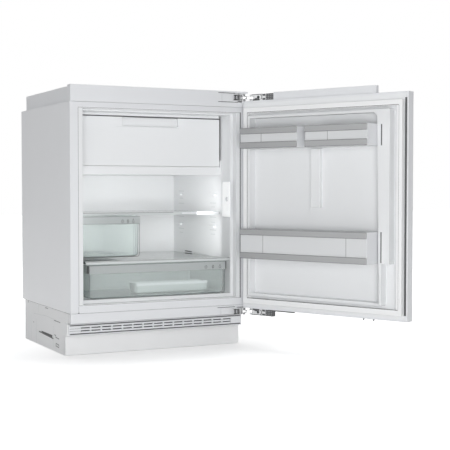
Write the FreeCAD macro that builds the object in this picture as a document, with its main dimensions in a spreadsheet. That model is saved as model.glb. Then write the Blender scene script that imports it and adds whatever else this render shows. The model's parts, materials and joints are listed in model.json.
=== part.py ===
import FreeCAD, Part
import os

# Undercounter fridge with its door open. Millimetres, +Z up, the front faces -Y, +X is the hinge side.
# The origin is on the floor, under the middle of the cabinet.

doc = FreeCAD.newDocument("undercounter_fridge")
sheet = doc.addObject("Spreadsheet::Sheet", "Sheet")

SIZES = {
    # Cabinet shell
    "body_width": 597,
    "body_depth": 505,
    "base_height": 133.5,
    "body_height": 635,
    "cover_height": 50.5,
    "sheet_steel": 1,
    "back_sheet": 2,
    "flange_side": 26,
    "flange_top": 17,
    "flange_bottom": 24,
    # Inner liner
    "liner_wall": 2,
    "side_wall": 48.5,
    "cavity_back_gap": 37,
    "cavity_top_gap": 24,
    "cavity_floor_gap": 37,
    "collar_side": 39.5,
    "collar_depth": 24,
    "collar_top_gap": 20,
    "collar_floor_gap": 26.5,
    "hump_back_set": 175,
    "hump_height": 95,
    "hump_insulation": 22,
    "rib_reach": 9,
    "rib_thickness": 6,
    "rib_length": 44,
    "rib_front_set": 128,
    "rib_back_gap": 28,
    "rib_pitch": 42,
    # Top cover
    "cover_wall": 3,
    "cover_step": 6,
    "cover_side_inset": 15,
    "cover_back_inset": 8,
    "fascia_depth": 24,
    "worktop_hole": 5,
    "worktop_hole_spacing": 400,
    "worktop_hole_set": 60,
    # Base
    "base_side_inset": 1.5,
    "base_wall": 3,
    "base_floor": 4,
    "base_back_inset": 25,
    "apron_height": 30,
    "apron_thickness": 12,
    "apron_side_inset": 0.5,
    "grille_recess": 31,
    "grille_thickness": 6,
    "grille_bottom": 64,
    "grille_height": 35,
    "grille_side_inset": 4,
    "grille_line_pitch": 8.7,
    "grille_slot_height": 3.4,
    "grille_slot_length": 30,
    "grille_slot_pitch": 34.5,
    "grille_groove_depth": 2,
    "plinth_recess": 55,
    "plinth_thickness": 12,
    "plinth_height": 62,
    "plinth_side_inset": 6,
    "floor_clearance": 1,
    "side_slot_height": 8,
    "side_slot_length": 120,
    "side_slot_set": 185,
    "side_slot_level": 40,
    # Levelling feet
    "foot_radius": 18,
    "foot_thickness": 9,
    "foot_stem_radius": 5,
    "foot_stem_length": 74,
    "foot_boss_radius": 11,
    "foot_boss_height": 34,
    "foot_side_set": 48,
    "foot_front_set": 100,
    "foot_back_set": 60,
    "foot_clearance": 2,
    # Cooling machine in the base
    "compressor_radius": 60,
    "compressor_height": 124,
    "compressor_side_set": 177,
    "compressor_back_set": 76,
    "compressor_round": 26,
    "compressor_foot_width": 168,
    "compressor_foot_depth": 96,
    "compressor_foot_plate": 3,
    "grommet_radius": 11,
    "grommet_height": 16,
    "grommet_inset": 14,
    "relay_width": 34,
    "relay_depth": 54,
    "relay_height": 56,
    "drip_width": 130,
    "drip_depth": 100,
    "drip_height": 24,
    "drip_wall": 2,
    "coil_tube_radius": 4,
    "coil_back_gap": 61,
    "coil_length": 320,
    "coil_front_set": 96,
    "drier_radius": 9,
    "drier_length": 90,
    "drier_fan_gap": 5,
    "drier_side_gap": 3,
    "fan_size": 108,
    "fan_depth": 26,
    "fan_x": -60,
    "fan_back_set": 160,
    "fan_bore_radius": 48,
    "fan_blade_radius": 44,
    "fan_hub_radius": 15,
    "fan_blade_thickness": 2,
    "fan_blade_depth": 12,
    "fan_strut_width": 9,
    "fan_strut_depth": 4,
    "fan_shaft_radius": 3,
    "control_width": 110,
    "control_depth": 84,
    "control_height": 62,
    "control_side_gap": 74,
    "control_back_set": 40,
    "inlet_width": 30,
    "inlet_height": 24,
    "inlet_depth": 14,
    "inlet_wall": 3,
    # Freezer compartment
    "freezer_front": 90,
    "flap_thickness": 16,
    "flap_seat_gap": 6,
    "freezer_height": 191.5,
    "freezer_lip_height": 24,
    "freezer_side_gap": 0.3,
    "freezer_wall": 20,
    "flap_side_gap": 6.5,
    "flap_seam": 3,
    "flap_top_gap": 11,
    "flap_pivot_rise": 11,
    "flap_pin_radius": 3,
    "flap_pin_reach": 12,
    "flap_ear": 4,
    "flap_ear_height": 24,
    "flap_grip_width": 190,
    "flap_grip_height": 28,
    "flap_grip_depth": 9,
    "flap_seal_inset": 24,
    "flap_seal_width": 9,
    # Light and temperature dial on the right wall
    "light_front": 15,
    "light_width": 57,
    "light_drop": 20.5,
    "light_height": 118,
    "light_frame": 3.5,
    "light_cover": 2,
    "light_rim": 3,
    "dial_radius": 8,
    "dial_height": 4,
    "dial_spindle_radius": 2,
    "dial_set": 19,
    "dial_rise": 60,
    # Glass shelf
    "shelf_level": 293.5,
    "shelf_glass": 4,
    "shelf_side_gap": 6.2,
    "shelf_front": 86,
    "shelf_back_gap": 14,
    "trim_depth": 12,
    "trim_wall": 3,
    # Crisper cover and drawer
    "crisper_cover_level": 147,
    "crisper_cover_front": 17,
    "crisper_front": 25,
    "crisper_side_gap": 19,
    "crisper_back_gap": 17,
    "crisper_height": 103,
    "crisper_wall": 2.5,
    "handle_height": 25,
    "handle_thickness": 4,
    "clip_width": 5,
    "clip_depth": 9,
    "clip_height": 24,
    "tray_width": 260,
    "tray_depth": 60,
    "tray_height": 34,
    "tray_right_gap": 21,
    "tray_front_set": 76,
    # Storage box that hangs under the shelf
    "box_side_gap": 16,
    "box_width": 186,
    "box_front": 75,
    "box_back_gap": 73,
    "box_bottom": 161,
    "box_top": 289,
    "box_wall": 2.5,
    "box_rim": 4,
    "box_rim_drop": 12,
    "runner_wall": 2,
    # Door
    "door_gap": 16,
    "door_thickness": 29,
    "door_under": 7.5,
    "door_over": 18.5,
    "door_side_inset": 0.5,
    "door_skin": 1,
    "panel_wall": 2,
    "panel_free_inset": 8.5,
    "panel_edge_inset": 6,
    "rim_fold": 4.5,
    "gasket_outer_inset": 12,
    "gasket_width": 18,
    "gasket_top_inset": 23,
    "gasket_bottom_inset": 17,
    "gasket_seat_gap": 0.6,
    "dyke_height": 30,
    "dyke_hinge_set": 42,
    "dyke_hinge_width": 7,
    "dyke_free_set": 44,
    "dyke_free_width": 41,
    "dyke_lower_width": 15,
    "dyke_bottom": 45,
    "dyke_top_gap": 50,
    "dyke_bar": 8,
    "post_width": 34,
    "post_height": 14,
    "post_rise": 67.5,
    "post_shift": 7,
    # Furniture rail on the top edge of the door
    "rail_height": 24,
    "rail_depth": 15,
    "rail_front_inset": 5,
    "rail_end_set": 112,
    "rail_bolt_radius": 3,
    "rail_bolt_set": 60,
    # Door racks
    "rack_hinge_set": 51,
    "rack_free_set": 87,
    "rack_depth": 84,
    "rack_gap": 30,
    "rack_wall": 3,
    "upper_rack_drop": 91.5,
    "upper_rack_height": 63,
    "lower_rack_level": 158.5,
    "lower_rack_height": 92,
    "rack_rail_height": 19,
    "rack_rail_thickness": 4,
    "divider_thickness": 2.5,
    "divider_height": 36,
    # Hinges
    "pivot_x": 18.5,
    "cabinet_pivot_front": 12,
    "link_length": 26,
    "half_opening_angle": 57,
    "knuckle_radius": 7,
    "hinge_pin_radius": 3,
    "knuckle_height": 6,
    "link_height": 8,
    "hinge_height": 25,
    "hinge_level_gap": 17.5,
    "bracket_length": 72,
    "bracket_plate": 5,
    "bracket_depth": 14,
    "leaf_length": 72,
    "leaf_depth": 14,
    "leaf_cap_length": 18,
    "pocket_length": 94,
    "pocket_depth": 30,
    # Clearances
    "fit": 0.05,
    "running_gap": 0.3,
    "sliding_gap": 0.5,
    "overrun": 5,
}

for row, (name, size) in enumerate(SIZES.items(), start=1):
    sheet.set(f"A{row}", name)
    sheet.set(f"B{row}", str(size))
    sheet.setAlias(f"B{row}", name)
doc.recompute()


class Size:
    """A length as a number and as the sheet formula that gives it."""

    def __init__(self, number, formula):
        self.number = number
        self.formula = formula

    def __add__(self, other):
        other = as_size(other)
        return Size(self.number + other.number, f"({self.formula} + {other.formula})")

    def __sub__(self, other):
        other = as_size(other)
        return Size(self.number - other.number, f"({self.formula} - {other.formula})")

    def __mul__(self, share):
        return Size(self.number * share, f"({self.formula} * {share})")

    def __truediv__(self, share):
        return Size(self.number / share, f"({self.formula} / {share})")

    def __neg__(self):
        return Size(-self.number, f"(0 - {self.formula})")


class Sheet:
    """Reads a size from the sheet by its alias."""

    def __getattr__(self, name):
        return Size(float(sheet.get(name)), f"Sheet.{name}")


def as_size(value):
    return value if isinstance(value, Size) else Size(value, str(value))


d = Sheet()
nodes = []


def bind(item, prop, size):
    item.setExpression(prop, as_size(size).formula)


def put(item, x, y, z):
    for letter, size in zip("xyz", (x, y, z)):
        bind(item, f"Placement.Base.{letter}", size)


def box(x, y, z):
    """A block between a low and a high value on each axis."""
    item = doc.addObject("Part::Box", "Block")
    for prop, (low, high) in zip(("Length", "Width", "Height"), (x, y, z)):
        bind(item, prop, as_size(high) - low)
    put(item, x[0], y[0], z[0])
    return item


TURNS = {
    "x": FreeCAD.Rotation(FreeCAD.Vector(0, 1, 0), 90),
    "y": FreeCAD.Rotation(FreeCAD.Vector(1, 0, 0), -90),
    "z": FreeCAD.Rotation(),
}


def rod(axis, span, centre, radius):
    """A cylinder along an axis, over a span of it; centre holds the other two places in xyz order."""
    item = doc.addObject("Part::Cylinder", "Rod")
    bind(item, "Radius", radius)
    bind(item, "Height", as_size(span[1]) - span[0])
    item.Placement = FreeCAD.Placement(FreeCAD.Vector(), TURNS[axis])
    places = list(centre)
    places.insert("xyz".index(axis), span[0])
    put(item, *places)
    return item


def fuse(*items):
    if len(items) == 1:
        return items[0]
    item = doc.addObject("Part::MultiFuse", "Union")
    item.Shapes = list(items)
    item.Refine = True
    return item


def cut(base, *tools):
    item = doc.addObject("Part::Cut", "Difference")
    item.Base = base
    item.Tool = fuse(*tools)
    item.Refine = True
    return item


def group(*items):
    item = doc.addObject("Part::Compound", "Group")
    item.Links = list(items)
    return item


def tub(x, y, z, wall, floor=None):
    """A box that is open at the top, with walls of one thickness."""
    floor = floor or wall
    inside = box((x[0] + wall, x[1] - wall), (y[0] + wall, y[1] - wall), (z[0] + floor, z[1] + d.overrun))
    return cut(box(x, y, z), inside)


def ring(x, y, z, width):
    """A frame that lies in the XZ plane, with a border of one width."""
    inside = box((x[0] + width, x[1] - width), (y[0] - d.overrun, y[1] + d.overrun),
                 (z[0] + width, z[1] - width))
    return cut(box(x, y, z), inside)


def node(name, item, pose=None):
    """Names a finished piece; pose turns it with the open door or the hinge links."""
    if pose:
        item = item if item.TypeId in ("Part::Cut", "Part::MultiFuse", "Part::Compound") else group(item)
        item.setExpression("Placement", pose)
    item.Label = name
    nodes.append(item)
    return item


def mirrored(size):
    return (-size, size)


# Reference planes of the cabinet
half_width = d.body_width / 2
front = -d.body_depth / 2
back = d.body_depth / 2
body_bottom = d.base_height
body_top = d.base_height + d.body_height
top = body_top + d.cover_height
cavity_half = half_width - d.side_wall
cavity_floor = body_bottom + d.cavity_floor_gap
cavity_top = body_top - d.cavity_top_gap
cavity_back = back - d.cavity_back_gap
collar_half = half_width - d.collar_side
hump_face = back - d.hump_back_set
hump_top = cavity_floor + d.hump_height
niche_face = hump_face + d.liner_wall + d.hump_insulation
niche_top = hump_top - d.liner_wall - d.hump_insulation
steel_half = half_width - d.sheet_steel
freezer_low = cavity_top - d.freezer_height
shelf_bottom = body_bottom + d.shelf_level
door_bottom = body_bottom - d.door_under
door_top = body_top + d.door_over

# Hinge axes: the links turn on the cabinet pivot, the door turns on the link's far end
pivot_x = half_width - d.pivot_x
cabinet_pivot = (pivot_x, front - d.cabinet_pivot_front)
door_pivot = (pivot_x, front - d.cabinet_pivot_front - d.link_length)
link_turn = d.half_opening_angle.formula
LINK_POSE = (f"placement(vector(0; 0; 0); rotation(vector(0; 0; 1); {link_turn}); "
             f"vector({cabinet_pivot[0].formula}; {cabinet_pivot[1].formula}; 0))")
DOOR_POSE = (f"{LINK_POSE} * placement(vector(0; 0; 0); rotation(vector(0; 0; 1); {link_turn}); "
             f"vector({door_pivot[0].formula}; {door_pivot[1].formula}; 0))")


# Cabinet shell, back and stepped bottom
def cabinet_shell():
    shell = box(mirrored(half_width), (front, back), (body_bottom, body_top))
    inside = box(mirrored(steel_half), (front + d.sheet_steel, back + d.overrun),
                 (body_bottom - d.overrun, body_top - d.sheet_steel))
    mouth = box(mirrored(half_width - d.flange_side),
                (front - d.overrun, front + d.sheet_steel + d.overrun),
                (body_bottom + d.flange_bottom, body_top - d.flange_top))
    node("outer_shell", cut(shell, inside, mouth))
    node("back_panel", box(mirrored(steel_half), (back - d.back_sheet, back),
                           (niche_top, body_top - d.sheet_steel)))
    steel = d.sheet_steel
    sill = box(mirrored(steel_half), (front + steel, niche_face), (body_bottom, body_bottom + steel))
    riser = box(mirrored(steel_half), (niche_face - steel, niche_face), (body_bottom, niche_top))
    ceiling = box(mirrored(steel_half), (niche_face - steel, back), (niche_top - steel, niche_top))
    node("bottom_panel", fuse(sill, riser, ceiling))


# The liner's hollow is a wide collar at the mouth, a main chamber and a lower chamber in front of the hump
def collar_box(grow):
    return box(mirrored(collar_half + grow), (front, front + d.collar_depth + grow),
               (body_bottom + d.collar_floor_gap - grow, body_top - d.collar_top_gap + grow))


def chamber_boxes(grow):
    chamber = box(mirrored(cavity_half + grow), (front + d.liner_wall, cavity_back + grow),
                  (hump_top - grow, cavity_top + grow))
    lower = box(mirrored(cavity_half + grow), (front + d.liner_wall, hump_face + grow),
                (cavity_floor - grow, hump_top + grow))
    return [chamber, lower]


def liner_boxes(grow):
    return [collar_box(grow), *chamber_boxes(grow)]


def shelf_ribs(level):
    ribs = []
    for rib_front in (front + d.rib_front_set, cavity_back - d.rib_back_gap - d.rib_length):
        for side in (-1, 1):
            inner = (cavity_half - d.rib_reach) * side
            outer = (cavity_half + d.liner_wall / 2) * side
            span = (inner, outer) if side > 0 else (outer, inner)
            ribs.append(box(span, (rib_front, rib_front + d.rib_length), (level - d.rib_thickness, level)))
    return ribs


def inner_liner():
    flange = box(mirrored(half_width - d.flange_side), (front, front + d.liner_wall),
                 (body_bottom + d.flange_bottom, body_top - d.flange_top))
    mouth = box(mirrored(collar_half), (front - d.overrun, front + d.collar_depth),
                (body_bottom + d.collar_floor_gap, body_top - d.collar_top_gap))
    tank = cut(fuse(flange, *liner_boxes(d.liner_wall)), mouth, *chamber_boxes(0))
    shelf_floor = shelf_bottom - d.running_gap
    spare_level = (shelf_floor + freezer_low) / 2
    levels = [body_bottom + d.crisper_cover_level, shelf_floor - d.rib_pitch, shelf_floor, spare_level]
    ribs = []
    for level in levels:
        ribs.extend(shelf_ribs(level))
    node("inner_liner", fuse(tank, *ribs))
    block = box(mirrored(steel_half), (front + d.sheet_steel, back - d.back_sheet),
                (body_bottom + d.sheet_steel, body_top - d.sheet_steel))
    niche = box(mirrored(half_width), (niche_face - d.sheet_steel, back),
                (body_bottom, niche_top))
    face = box(mirrored(half_width - d.flange_side), (front, front + d.liner_wall),
               (body_bottom + d.flange_bottom, body_top - d.flange_top))
    node("insulation_foam", cut(block, niche, face, *liner_boxes(d.liner_wall)))


def top_cover():
    fascia_back = front + d.fascia_depth
    side = half_width - d.cover_side_inset
    wall = d.cover_wall
    fascia = box(mirrored(half_width), (front - d.cover_step, fascia_back), (body_top, top))
    deck = box(mirrored(side), (fascia_back - wall, back - d.cover_back_inset), (body_top, top))
    hollow_front = box(mirrored(half_width - wall), (front - d.cover_step + wall, fascia_back - wall),
                       (body_top - d.overrun, top - wall))
    hollow_back = box(mirrored(side - wall), (fascia_back - wall * 2, back - d.cover_back_inset - wall),
                      (body_top - d.overrun, top - wall))
    hinge_low = body_top + d.hinge_level_gap
    pocket = box((half_width - d.pocket_length, half_width + d.overrun),
                 (front - d.cover_step - d.overrun, front + d.pocket_depth),
                 (hinge_low - wall / 2, hinge_low + d.hinge_height + wall / 2))
    hole_x = d.worktop_hole_spacing / 2
    hole_z = (top - wall * 2, top + d.overrun)
    holes = [rod("z", hole_z, (place, front + d.worktop_hole_set), d.worktop_hole / 2)
             for place in (-hole_x, hole_x)]
    node("top_cover", cut(fuse(fascia, deck), hollow_front, hollow_back, pocket, *holes))


# Base: moulded tray with side walls, apron, air grille and plinth panel
base_half = half_width - d.base_side_inset
base_back = back - d.base_back_inset
plinth_back = front + d.plinth_recess + d.plinth_thickness
grille_back = front + d.grille_recess + d.grille_thickness
apron_bottom = body_bottom - d.apron_height
foot_places = [(side, place) for side in (-1, 1) for place in ("front", "back")]


def foot_centre(side, place):
    y = front + d.foot_front_set if place == "front" else base_back - d.foot_back_set
    return ((half_width - d.foot_side_set) * side, y)


def base_tray():
    walls = []
    for side in (-1, 1):
        outer, inner = base_half * side, (base_half - d.base_wall) * side
        span = (inner, outer) if side > 0 else (outer, inner)
        walls.append(box(span, (plinth_back, base_back), (0, d.plinth_height)))
        walls.append(box(span, (grille_back, base_back), (d.plinth_height, apron_bottom)))
        walls.append(box(span, (front + d.apron_thickness, base_back), (apron_bottom, body_bottom)))
    floor = box(mirrored(base_half), (plinth_back, base_back), (0, d.base_floor))
    bosses, holes = [], []
    boss_bottom = d.foot_thickness + d.foot_clearance
    for side, place in foot_places:
        centre = foot_centre(side, place)
        x_wall = base_half * side
        x_boss = centre[0]
        span = (x_boss, x_wall) if side > 0 else (x_wall, x_boss)
        bosses.append(rod("z", (boss_bottom, boss_bottom + d.foot_boss_height), centre, d.foot_boss_radius))
        bosses.append(box(span, (centre[1] - d.foot_boss_radius, centre[1] + d.foot_boss_radius),
                          (boss_bottom, boss_bottom + d.foot_boss_height)))
        holes.append(rod("z", (-d.overrun, boss_bottom), centre, d.foot_radius + d.foot_clearance))
        holes.append(rod("z", (0, body_bottom), centre, d.foot_stem_radius + d.fit))
    slot_front = front + d.side_slot_set
    slot = box(mirrored(half_width), (slot_front, slot_front + d.side_slot_length),
               (d.side_slot_level, d.side_slot_level + d.side_slot_height))
    node("base_tray", cut(fuse(floor, *walls, *bosses), slot, *holes))
    for side, place in foot_places:
        centre = foot_centre(side, place)
        pad = rod("z", (0, d.foot_thickness), centre, d.foot_radius)
        stem = rod("z", (0, d.foot_stem_length), centre, d.foot_stem_radius)
        name = f"{place}_{'right' if side > 0 else 'left'}_foot"
        node(name, fuse(pad, stem))


def base_front():
    apron = box(mirrored(half_width - d.apron_side_inset), (front, front + d.apron_thickness),
                (apron_bottom, body_bottom))
    pocket = box((half_width - d.pocket_length, half_width + d.overrun),
                 (front - d.overrun, front + d.apron_thickness + d.overrun),
                 (door_bottom - d.hinge_height - d.overrun, door_bottom + d.cover_wall / 2))
    node("bottom_apron", cut(apron, pocket))
    grille_half = half_width - d.grille_side_inset
    grille_front = front + d.grille_recess
    middle = d.grille_bottom + d.grille_height / 2
    slots = []
    closed_slots = 2
    count = int(grille_half.number * 2 // d.grille_slot_pitch.number) - closed_slots
    for row_share in (-0.5, 0.5):
        z = middle + d.grille_line_pitch * row_share
        for index in range(count):
            x = d.grille_slot_pitch * (index - (count - 1) / 2)
            slots.append(box((x - d.grille_slot_length / 2, x + d.grille_slot_length / 2),
                             (grille_front - d.overrun, grille_back + d.overrun),
                             (z - d.grille_slot_height / 2, z + d.grille_slot_height / 2)))
    for row_share in (-1.5, 1.5):
        z = middle + d.grille_line_pitch * row_share
        slots.append(box(mirrored(half_width),
                         (grille_front - d.overrun, grille_front + d.grille_groove_depth),
                         (z - d.grille_slot_height / 2, z + d.grille_slot_height / 2)))
    node("vent_grille", cut(box(mirrored(grille_half), (grille_front, grille_back),
                                (d.grille_bottom, d.grille_bottom + d.grille_height)), *slots))
    plinth_half = half_width - d.plinth_side_inset
    node("plinth_panel", box(mirrored(plinth_half), (front + d.plinth_recess, plinth_back),
                             (d.floor_clearance, d.plinth_height)))


# Cooling machine: compressor on rubber grommets, condenser coil, fan, drier, drip tray and control box
compressor_x = base_half - d.compressor_side_set
compressor_face = back - d.compressor_back_set - d.compressor_foot_depth / 2
fan_face = back - d.fan_back_set


def compressor():
    y = back - d.compressor_back_set
    foot_z = d.base_floor + d.grommet_height
    half_foot = (d.compressor_foot_width / 2, d.compressor_foot_depth / 2)
    shell_bottom = foot_z + d.compressor_foot_plate
    shell_top = shell_bottom + d.compressor_height
    can = rod("z", (shell_bottom, shell_top), (compressor_x, y), d.compressor_radius)
    doc.recompute()
    dome = doc.addObject("Part::Fillet", "Dome")
    dome.Base = can
    radius = d.compressor_round.number
    rims = [index for index, edge in enumerate(can.Shape.Edges, start=1)
            if isinstance(edge.Curve, Part.Circle) and edge.BoundBox.ZMax > shell_bottom.number + radius]
    dome.Edges = [(index, radius, radius) for index in rims]
    plate = box((compressor_x - half_foot[0], compressor_x + half_foot[0]),
                (y - half_foot[1], y + half_foot[1]), (foot_z, shell_bottom))
    node("compressor", fuse(dome, plate))
    grommets = []
    for x_side in (-1, 1):
        for y_side in (-1, 1):
            centre = (compressor_x + (half_foot[0] - d.grommet_inset) * x_side,
                      y + (half_foot[1] - d.grommet_inset) * y_side)
            grommets.append(rod("z", (d.base_floor, foot_z), centre, d.grommet_radius))
    node("compressor_grommets", group(*grommets))
    relay_x = compressor_x + d.compressor_radius
    relay_z = shell_bottom + d.compressor_height / 4
    node("compressor_relay", box((relay_x, relay_x + d.relay_width),
                                 (y - d.relay_depth / 2, y + d.relay_depth / 2),
                                 (relay_z, relay_z + d.relay_height)))
    node("drip_tray", tub((compressor_x - d.drip_width / 2, compressor_x + d.drip_width / 2),
                          (y - d.drip_depth / 2, y + d.drip_depth / 2),
                          (shell_top, shell_top + d.drip_height), d.drip_wall))


def condenser():
    tube = d.coil_tube_radius
    z = d.base_floor + tube
    runs = 8
    first_run = front + d.coil_front_set
    bend = (compressor_face - d.coil_back_gap - first_run) / (2 * (runs - 1))
    pieces = []
    for index in range(runs):
        y = first_run + bend * (2 * index)
        pieces.append(rod("x", mirrored(d.coil_length / 2), (y, z), tube))
        if index < runs - 1:
            side = 1 if index % 2 == 0 else -1
            turn = doc.addObject("Part::Torus", "Bend")
            bind(turn, "Radius1", bend)
            bind(turn, "Radius2", tube)
            turn.Angle3 = 180
            half_turn = FreeCAD.Rotation(FreeCAD.Vector(0, 0, 1), -90 * side)
            turn.Placement = FreeCAD.Placement(FreeCAD.Vector(), half_turn)
            put(turn, d.coil_length / 2 * side, y + bend, z)
            pieces.append(turn)
    node("condenser_coil", fuse(*pieces))
    drier_low = fan_face + d.fan_depth + d.drier_fan_gap
    drier_x = compressor_x - d.compressor_foot_width / 2 - d.drier_side_gap - d.drier_radius
    node("filter_drier", rod("y", (drier_low, drier_low + d.drier_length),
                             (drier_x, d.base_floor + d.drier_radius), d.drier_radius))


def fan():
    half = d.fan_size / 2
    low = fan_face
    middle = d.base_floor + half
    housing = box((d.fan_x - half, d.fan_x + half), (low, low + d.fan_depth), (d.base_floor, middle + half))
    bore = rod("y", (low - d.overrun, low + d.fan_depth + d.overrun), (d.fan_x, middle), d.fan_bore_radius)
    strut_y = (low + d.fan_depth - d.fan_strut_depth, low + d.fan_depth)
    strut_half = d.fan_strut_width / 2
    strut_a = box((d.fan_x - strut_half, d.fan_x + strut_half), strut_y, (middle - half, middle + half))
    strut_b = box((d.fan_x - half, d.fan_x + half), strut_y, (middle - strut_half, middle + strut_half))
    shaft = rod("y", (low + d.fan_strut_depth, strut_y[1]), (d.fan_x, middle), d.fan_shaft_radius)
    node("fan_housing", fuse(cut(housing, bore), strut_a, strut_b, shaft))
    hub_y = (low + d.fan_strut_depth, strut_y[0] - d.sliding_gap)
    hub = rod("y", hub_y, (d.fan_x, middle), d.fan_hub_radius)
    blade_count = 5
    blades = []
    blade_low = low + d.fan_strut_depth
    for index in range(blade_count):
        blade = box((0, d.fan_blade_thickness), (0, d.fan_blade_depth), (0, d.fan_blade_radius))
        blade.setExpression("Placement", f"placement(vector({d.fan_x.formula}; {blade_low.formula}; "
                            f"{middle.formula}); rotation(vector(0; 1; 0); {360 * index / blade_count}))")
        blades.append(blade)
    hole = rod("y", (low - d.overrun, strut_y[1]), (d.fan_x, middle), d.fan_shaft_radius + d.fit)
    node("fan_rotor", cut(fuse(hub, *blades), hole))


def control_box():
    half = d.control_width / 2
    middle = -base_half + d.base_wall + d.control_side_gap + half
    x = (middle - half, middle + half)
    y_back = back - d.control_back_set
    node("control_box", box(x, (y_back - d.control_depth, y_back),
                            (d.base_floor, d.base_floor + d.control_height)))
    z = d.base_floor + d.control_height / 2
    inlet_x = (middle - d.inlet_width / 2, middle + d.inlet_width / 2)
    inlet_z = (z - d.inlet_height / 2, z + d.inlet_height / 2)
    socket = box((inlet_x[0] + d.inlet_wall, inlet_x[1] - d.inlet_wall),
                 (y_back + d.inlet_wall, y_back + d.inlet_depth + d.overrun),
                 (inlet_z[0] + d.inlet_wall, inlet_z[1] - d.inlet_wall))
    node("power_inlet", cut(box(inlet_x, (y_back, y_back + d.inlet_depth), inlet_z), socket))


# Freezer compartment: insulated box with a drop-down flap on two pins
def freezer():
    half = cavity_half - d.freezer_side_gap
    face = front + d.freezer_front
    seat = face + d.flap_thickness + d.flap_seat_gap
    low = freezer_low
    lip_top = low + d.freezer_lip_height
    high = cavity_top - d.freezer_side_gap
    rear = cavity_back - d.freezer_side_gap
    wall = d.freezer_wall
    case = box(mirrored(half), (seat, rear), (low, high))
    lip = box(mirrored(half), (face, seat), (low, lip_top))
    chamber = box(mirrored(half - wall), (seat - d.overrun, rear - wall), (lip_top, high - wall))
    flap_half = cavity_half - d.flap_side_gap
    pivot = (face + d.flap_thickness / 2, lip_top + d.flap_seam + d.flap_pivot_rise)
    ears, bores, pins = [], [], []
    for side in (-1, 1):
        ear_inner = (half - d.flap_ear) * side
        span = (ear_inner, half * side) if side > 0 else (half * side, ear_inner)
        ears.append(box(span, (face, seat), (lip_top, lip_top + d.flap_ear_height)))
        pin_inner = (flap_half - d.flap_pin_reach) * side
        pin_span = (pin_inner, half * side) if side > 0 else (half * side, pin_inner)
        pins.append(rod("x", pin_span, pivot, d.flap_pin_radius))
        bores.append(rod("x", pin_span, pivot, d.flap_pin_radius + d.fit))
    ear_bores = rod("x", mirrored(cavity_half), pivot, d.flap_pin_radius)
    node("freezer_box", cut(fuse(case, lip, *ears), chamber, ear_bores))
    node("flap_pins", group(*pins))
    flap_bottom = lip_top + d.flap_seam
    flap_top = high - d.flap_top_gap
    panel = box(mirrored(flap_half), (face, face + d.flap_thickness), (flap_bottom, flap_top))
    grip_half = d.flap_grip_width / 2
    grip = box(mirrored(grip_half), (face - d.overrun, face + d.flap_grip_depth),
               (flap_top - d.flap_grip_height, flap_top + d.overrun))
    node("freezer_flap", cut(panel, grip, *bores))
    seal_half = flap_half - d.flap_seal_inset
    seal_z = (flap_bottom + d.flap_seal_inset, flap_top - d.flap_seal_inset / 4)
    node("flap_seal", ring(mirrored(seal_half), (face + d.flap_thickness, seat - d.sliding_gap),
                           seal_z, d.flap_seal_width))


# Light unit and temperature dial on the right wall
def light_unit():
    wall_x = cavity_half
    y = (front + d.light_front, front + d.light_front + d.light_width)
    light_top = freezer_low - d.light_drop
    z = (light_top - d.light_height, light_top)
    frame_x = wall_x - d.light_frame
    cover_x = frame_x - d.light_cover
    centre = (y[0] + d.dial_set, z[0] + d.dial_rise)
    seat = rod("x", (cover_x - d.overrun, wall_x), centre, d.dial_spindle_radius + d.fit)
    well = rod("x", (cover_x - d.overrun, wall_x), centre, d.dial_spindle_radius + d.fit)
    node("light_housing", cut(box((frame_x, wall_x), y, z), seat))
    rim = d.light_rim
    pane = box((cover_x, frame_x), (y[0] + rim, y[1] - rim), (z[0] + rim, z[1] - rim))
    node("light_diffuser", cut(pane, well))
    cap_x = cover_x - d.running_gap
    cap = rod("x", (cap_x - d.dial_height, cap_x), centre, d.dial_radius)
    spindle = rod("x", (cap_x - d.dial_height / 2, wall_x - d.running_gap), centre, d.dial_spindle_radius)
    node("temperature_dial", fuse(cap, spindle))


# Glass shelf with its front trim, and the storage box that hangs in two runners under it
def glass_shelf():
    half = cavity_half - d.shelf_side_gap
    y_front = front + d.shelf_front
    glass_front = y_front + d.trim_wall
    glass_y = (glass_front, cavity_back - d.shelf_back_gap)
    glass_z = (shelf_bottom, shelf_bottom + d.shelf_glass)
    node("glass_shelf", box(mirrored(half), glass_y, glass_z))
    trim = box(mirrored(half), (y_front, y_front + d.trim_depth),
               (shelf_bottom - d.trim_wall + d.running_gap, glass_z[1] + d.trim_wall))
    slot = box(mirrored(cavity_half), (glass_front, y_front + d.trim_depth + d.overrun), glass_z)
    node("shelf_trim", cut(trim, slot))


def storage_box():
    left = -cavity_half + d.box_side_gap
    right = left + d.box_width
    y = (front + d.box_front, cavity_back - d.box_back_gap)
    z = (body_bottom + d.box_bottom, body_bottom + d.box_top)
    body = tub((left, right), y, z, d.box_wall)
    rim_z = z[1] - d.box_rim_drop
    rims = [box((left - d.box_rim, left), (y[0] + d.trim_depth * 2, y[1]), (rim_z, rim_z + d.box_wall)),
            box((right, right + d.box_rim), (y[0] + d.trim_depth * 2, y[1]), (rim_z, rim_z + d.box_wall))]
    node("storage_box", fuse(body, *rims))
    node("storage_box_handle", box((left, right + d.box_rim), (y[0] - d.handle_thickness, y[0]),
                                   (z[1] - d.handle_height, z[1])))
    wall, gap = d.runner_wall, d.sliding_gap
    runner_y = (front + d.shelf_front + d.trim_depth, y[1])
    runners = []
    for side, edge in ((-1, left), (1, right)):
        web_inner = edge + (d.box_rim + gap) * side
        web_outer = web_inner + wall * side
        ledge_inner = edge + gap * side
        low_z = rim_z - d.running_gap - wall
        web = (web_inner, web_outer) if side > 0 else (web_outer, web_inner)
        ledge = (ledge_inner, web_outer) if side > 0 else (web_outer, ledge_inner)
        runners.append(fuse(box(web, runner_y, (low_z, shelf_bottom)),
                            box(ledge, runner_y, (low_z, low_z + wall))))
    node("box_runners", group(*runners))


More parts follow.
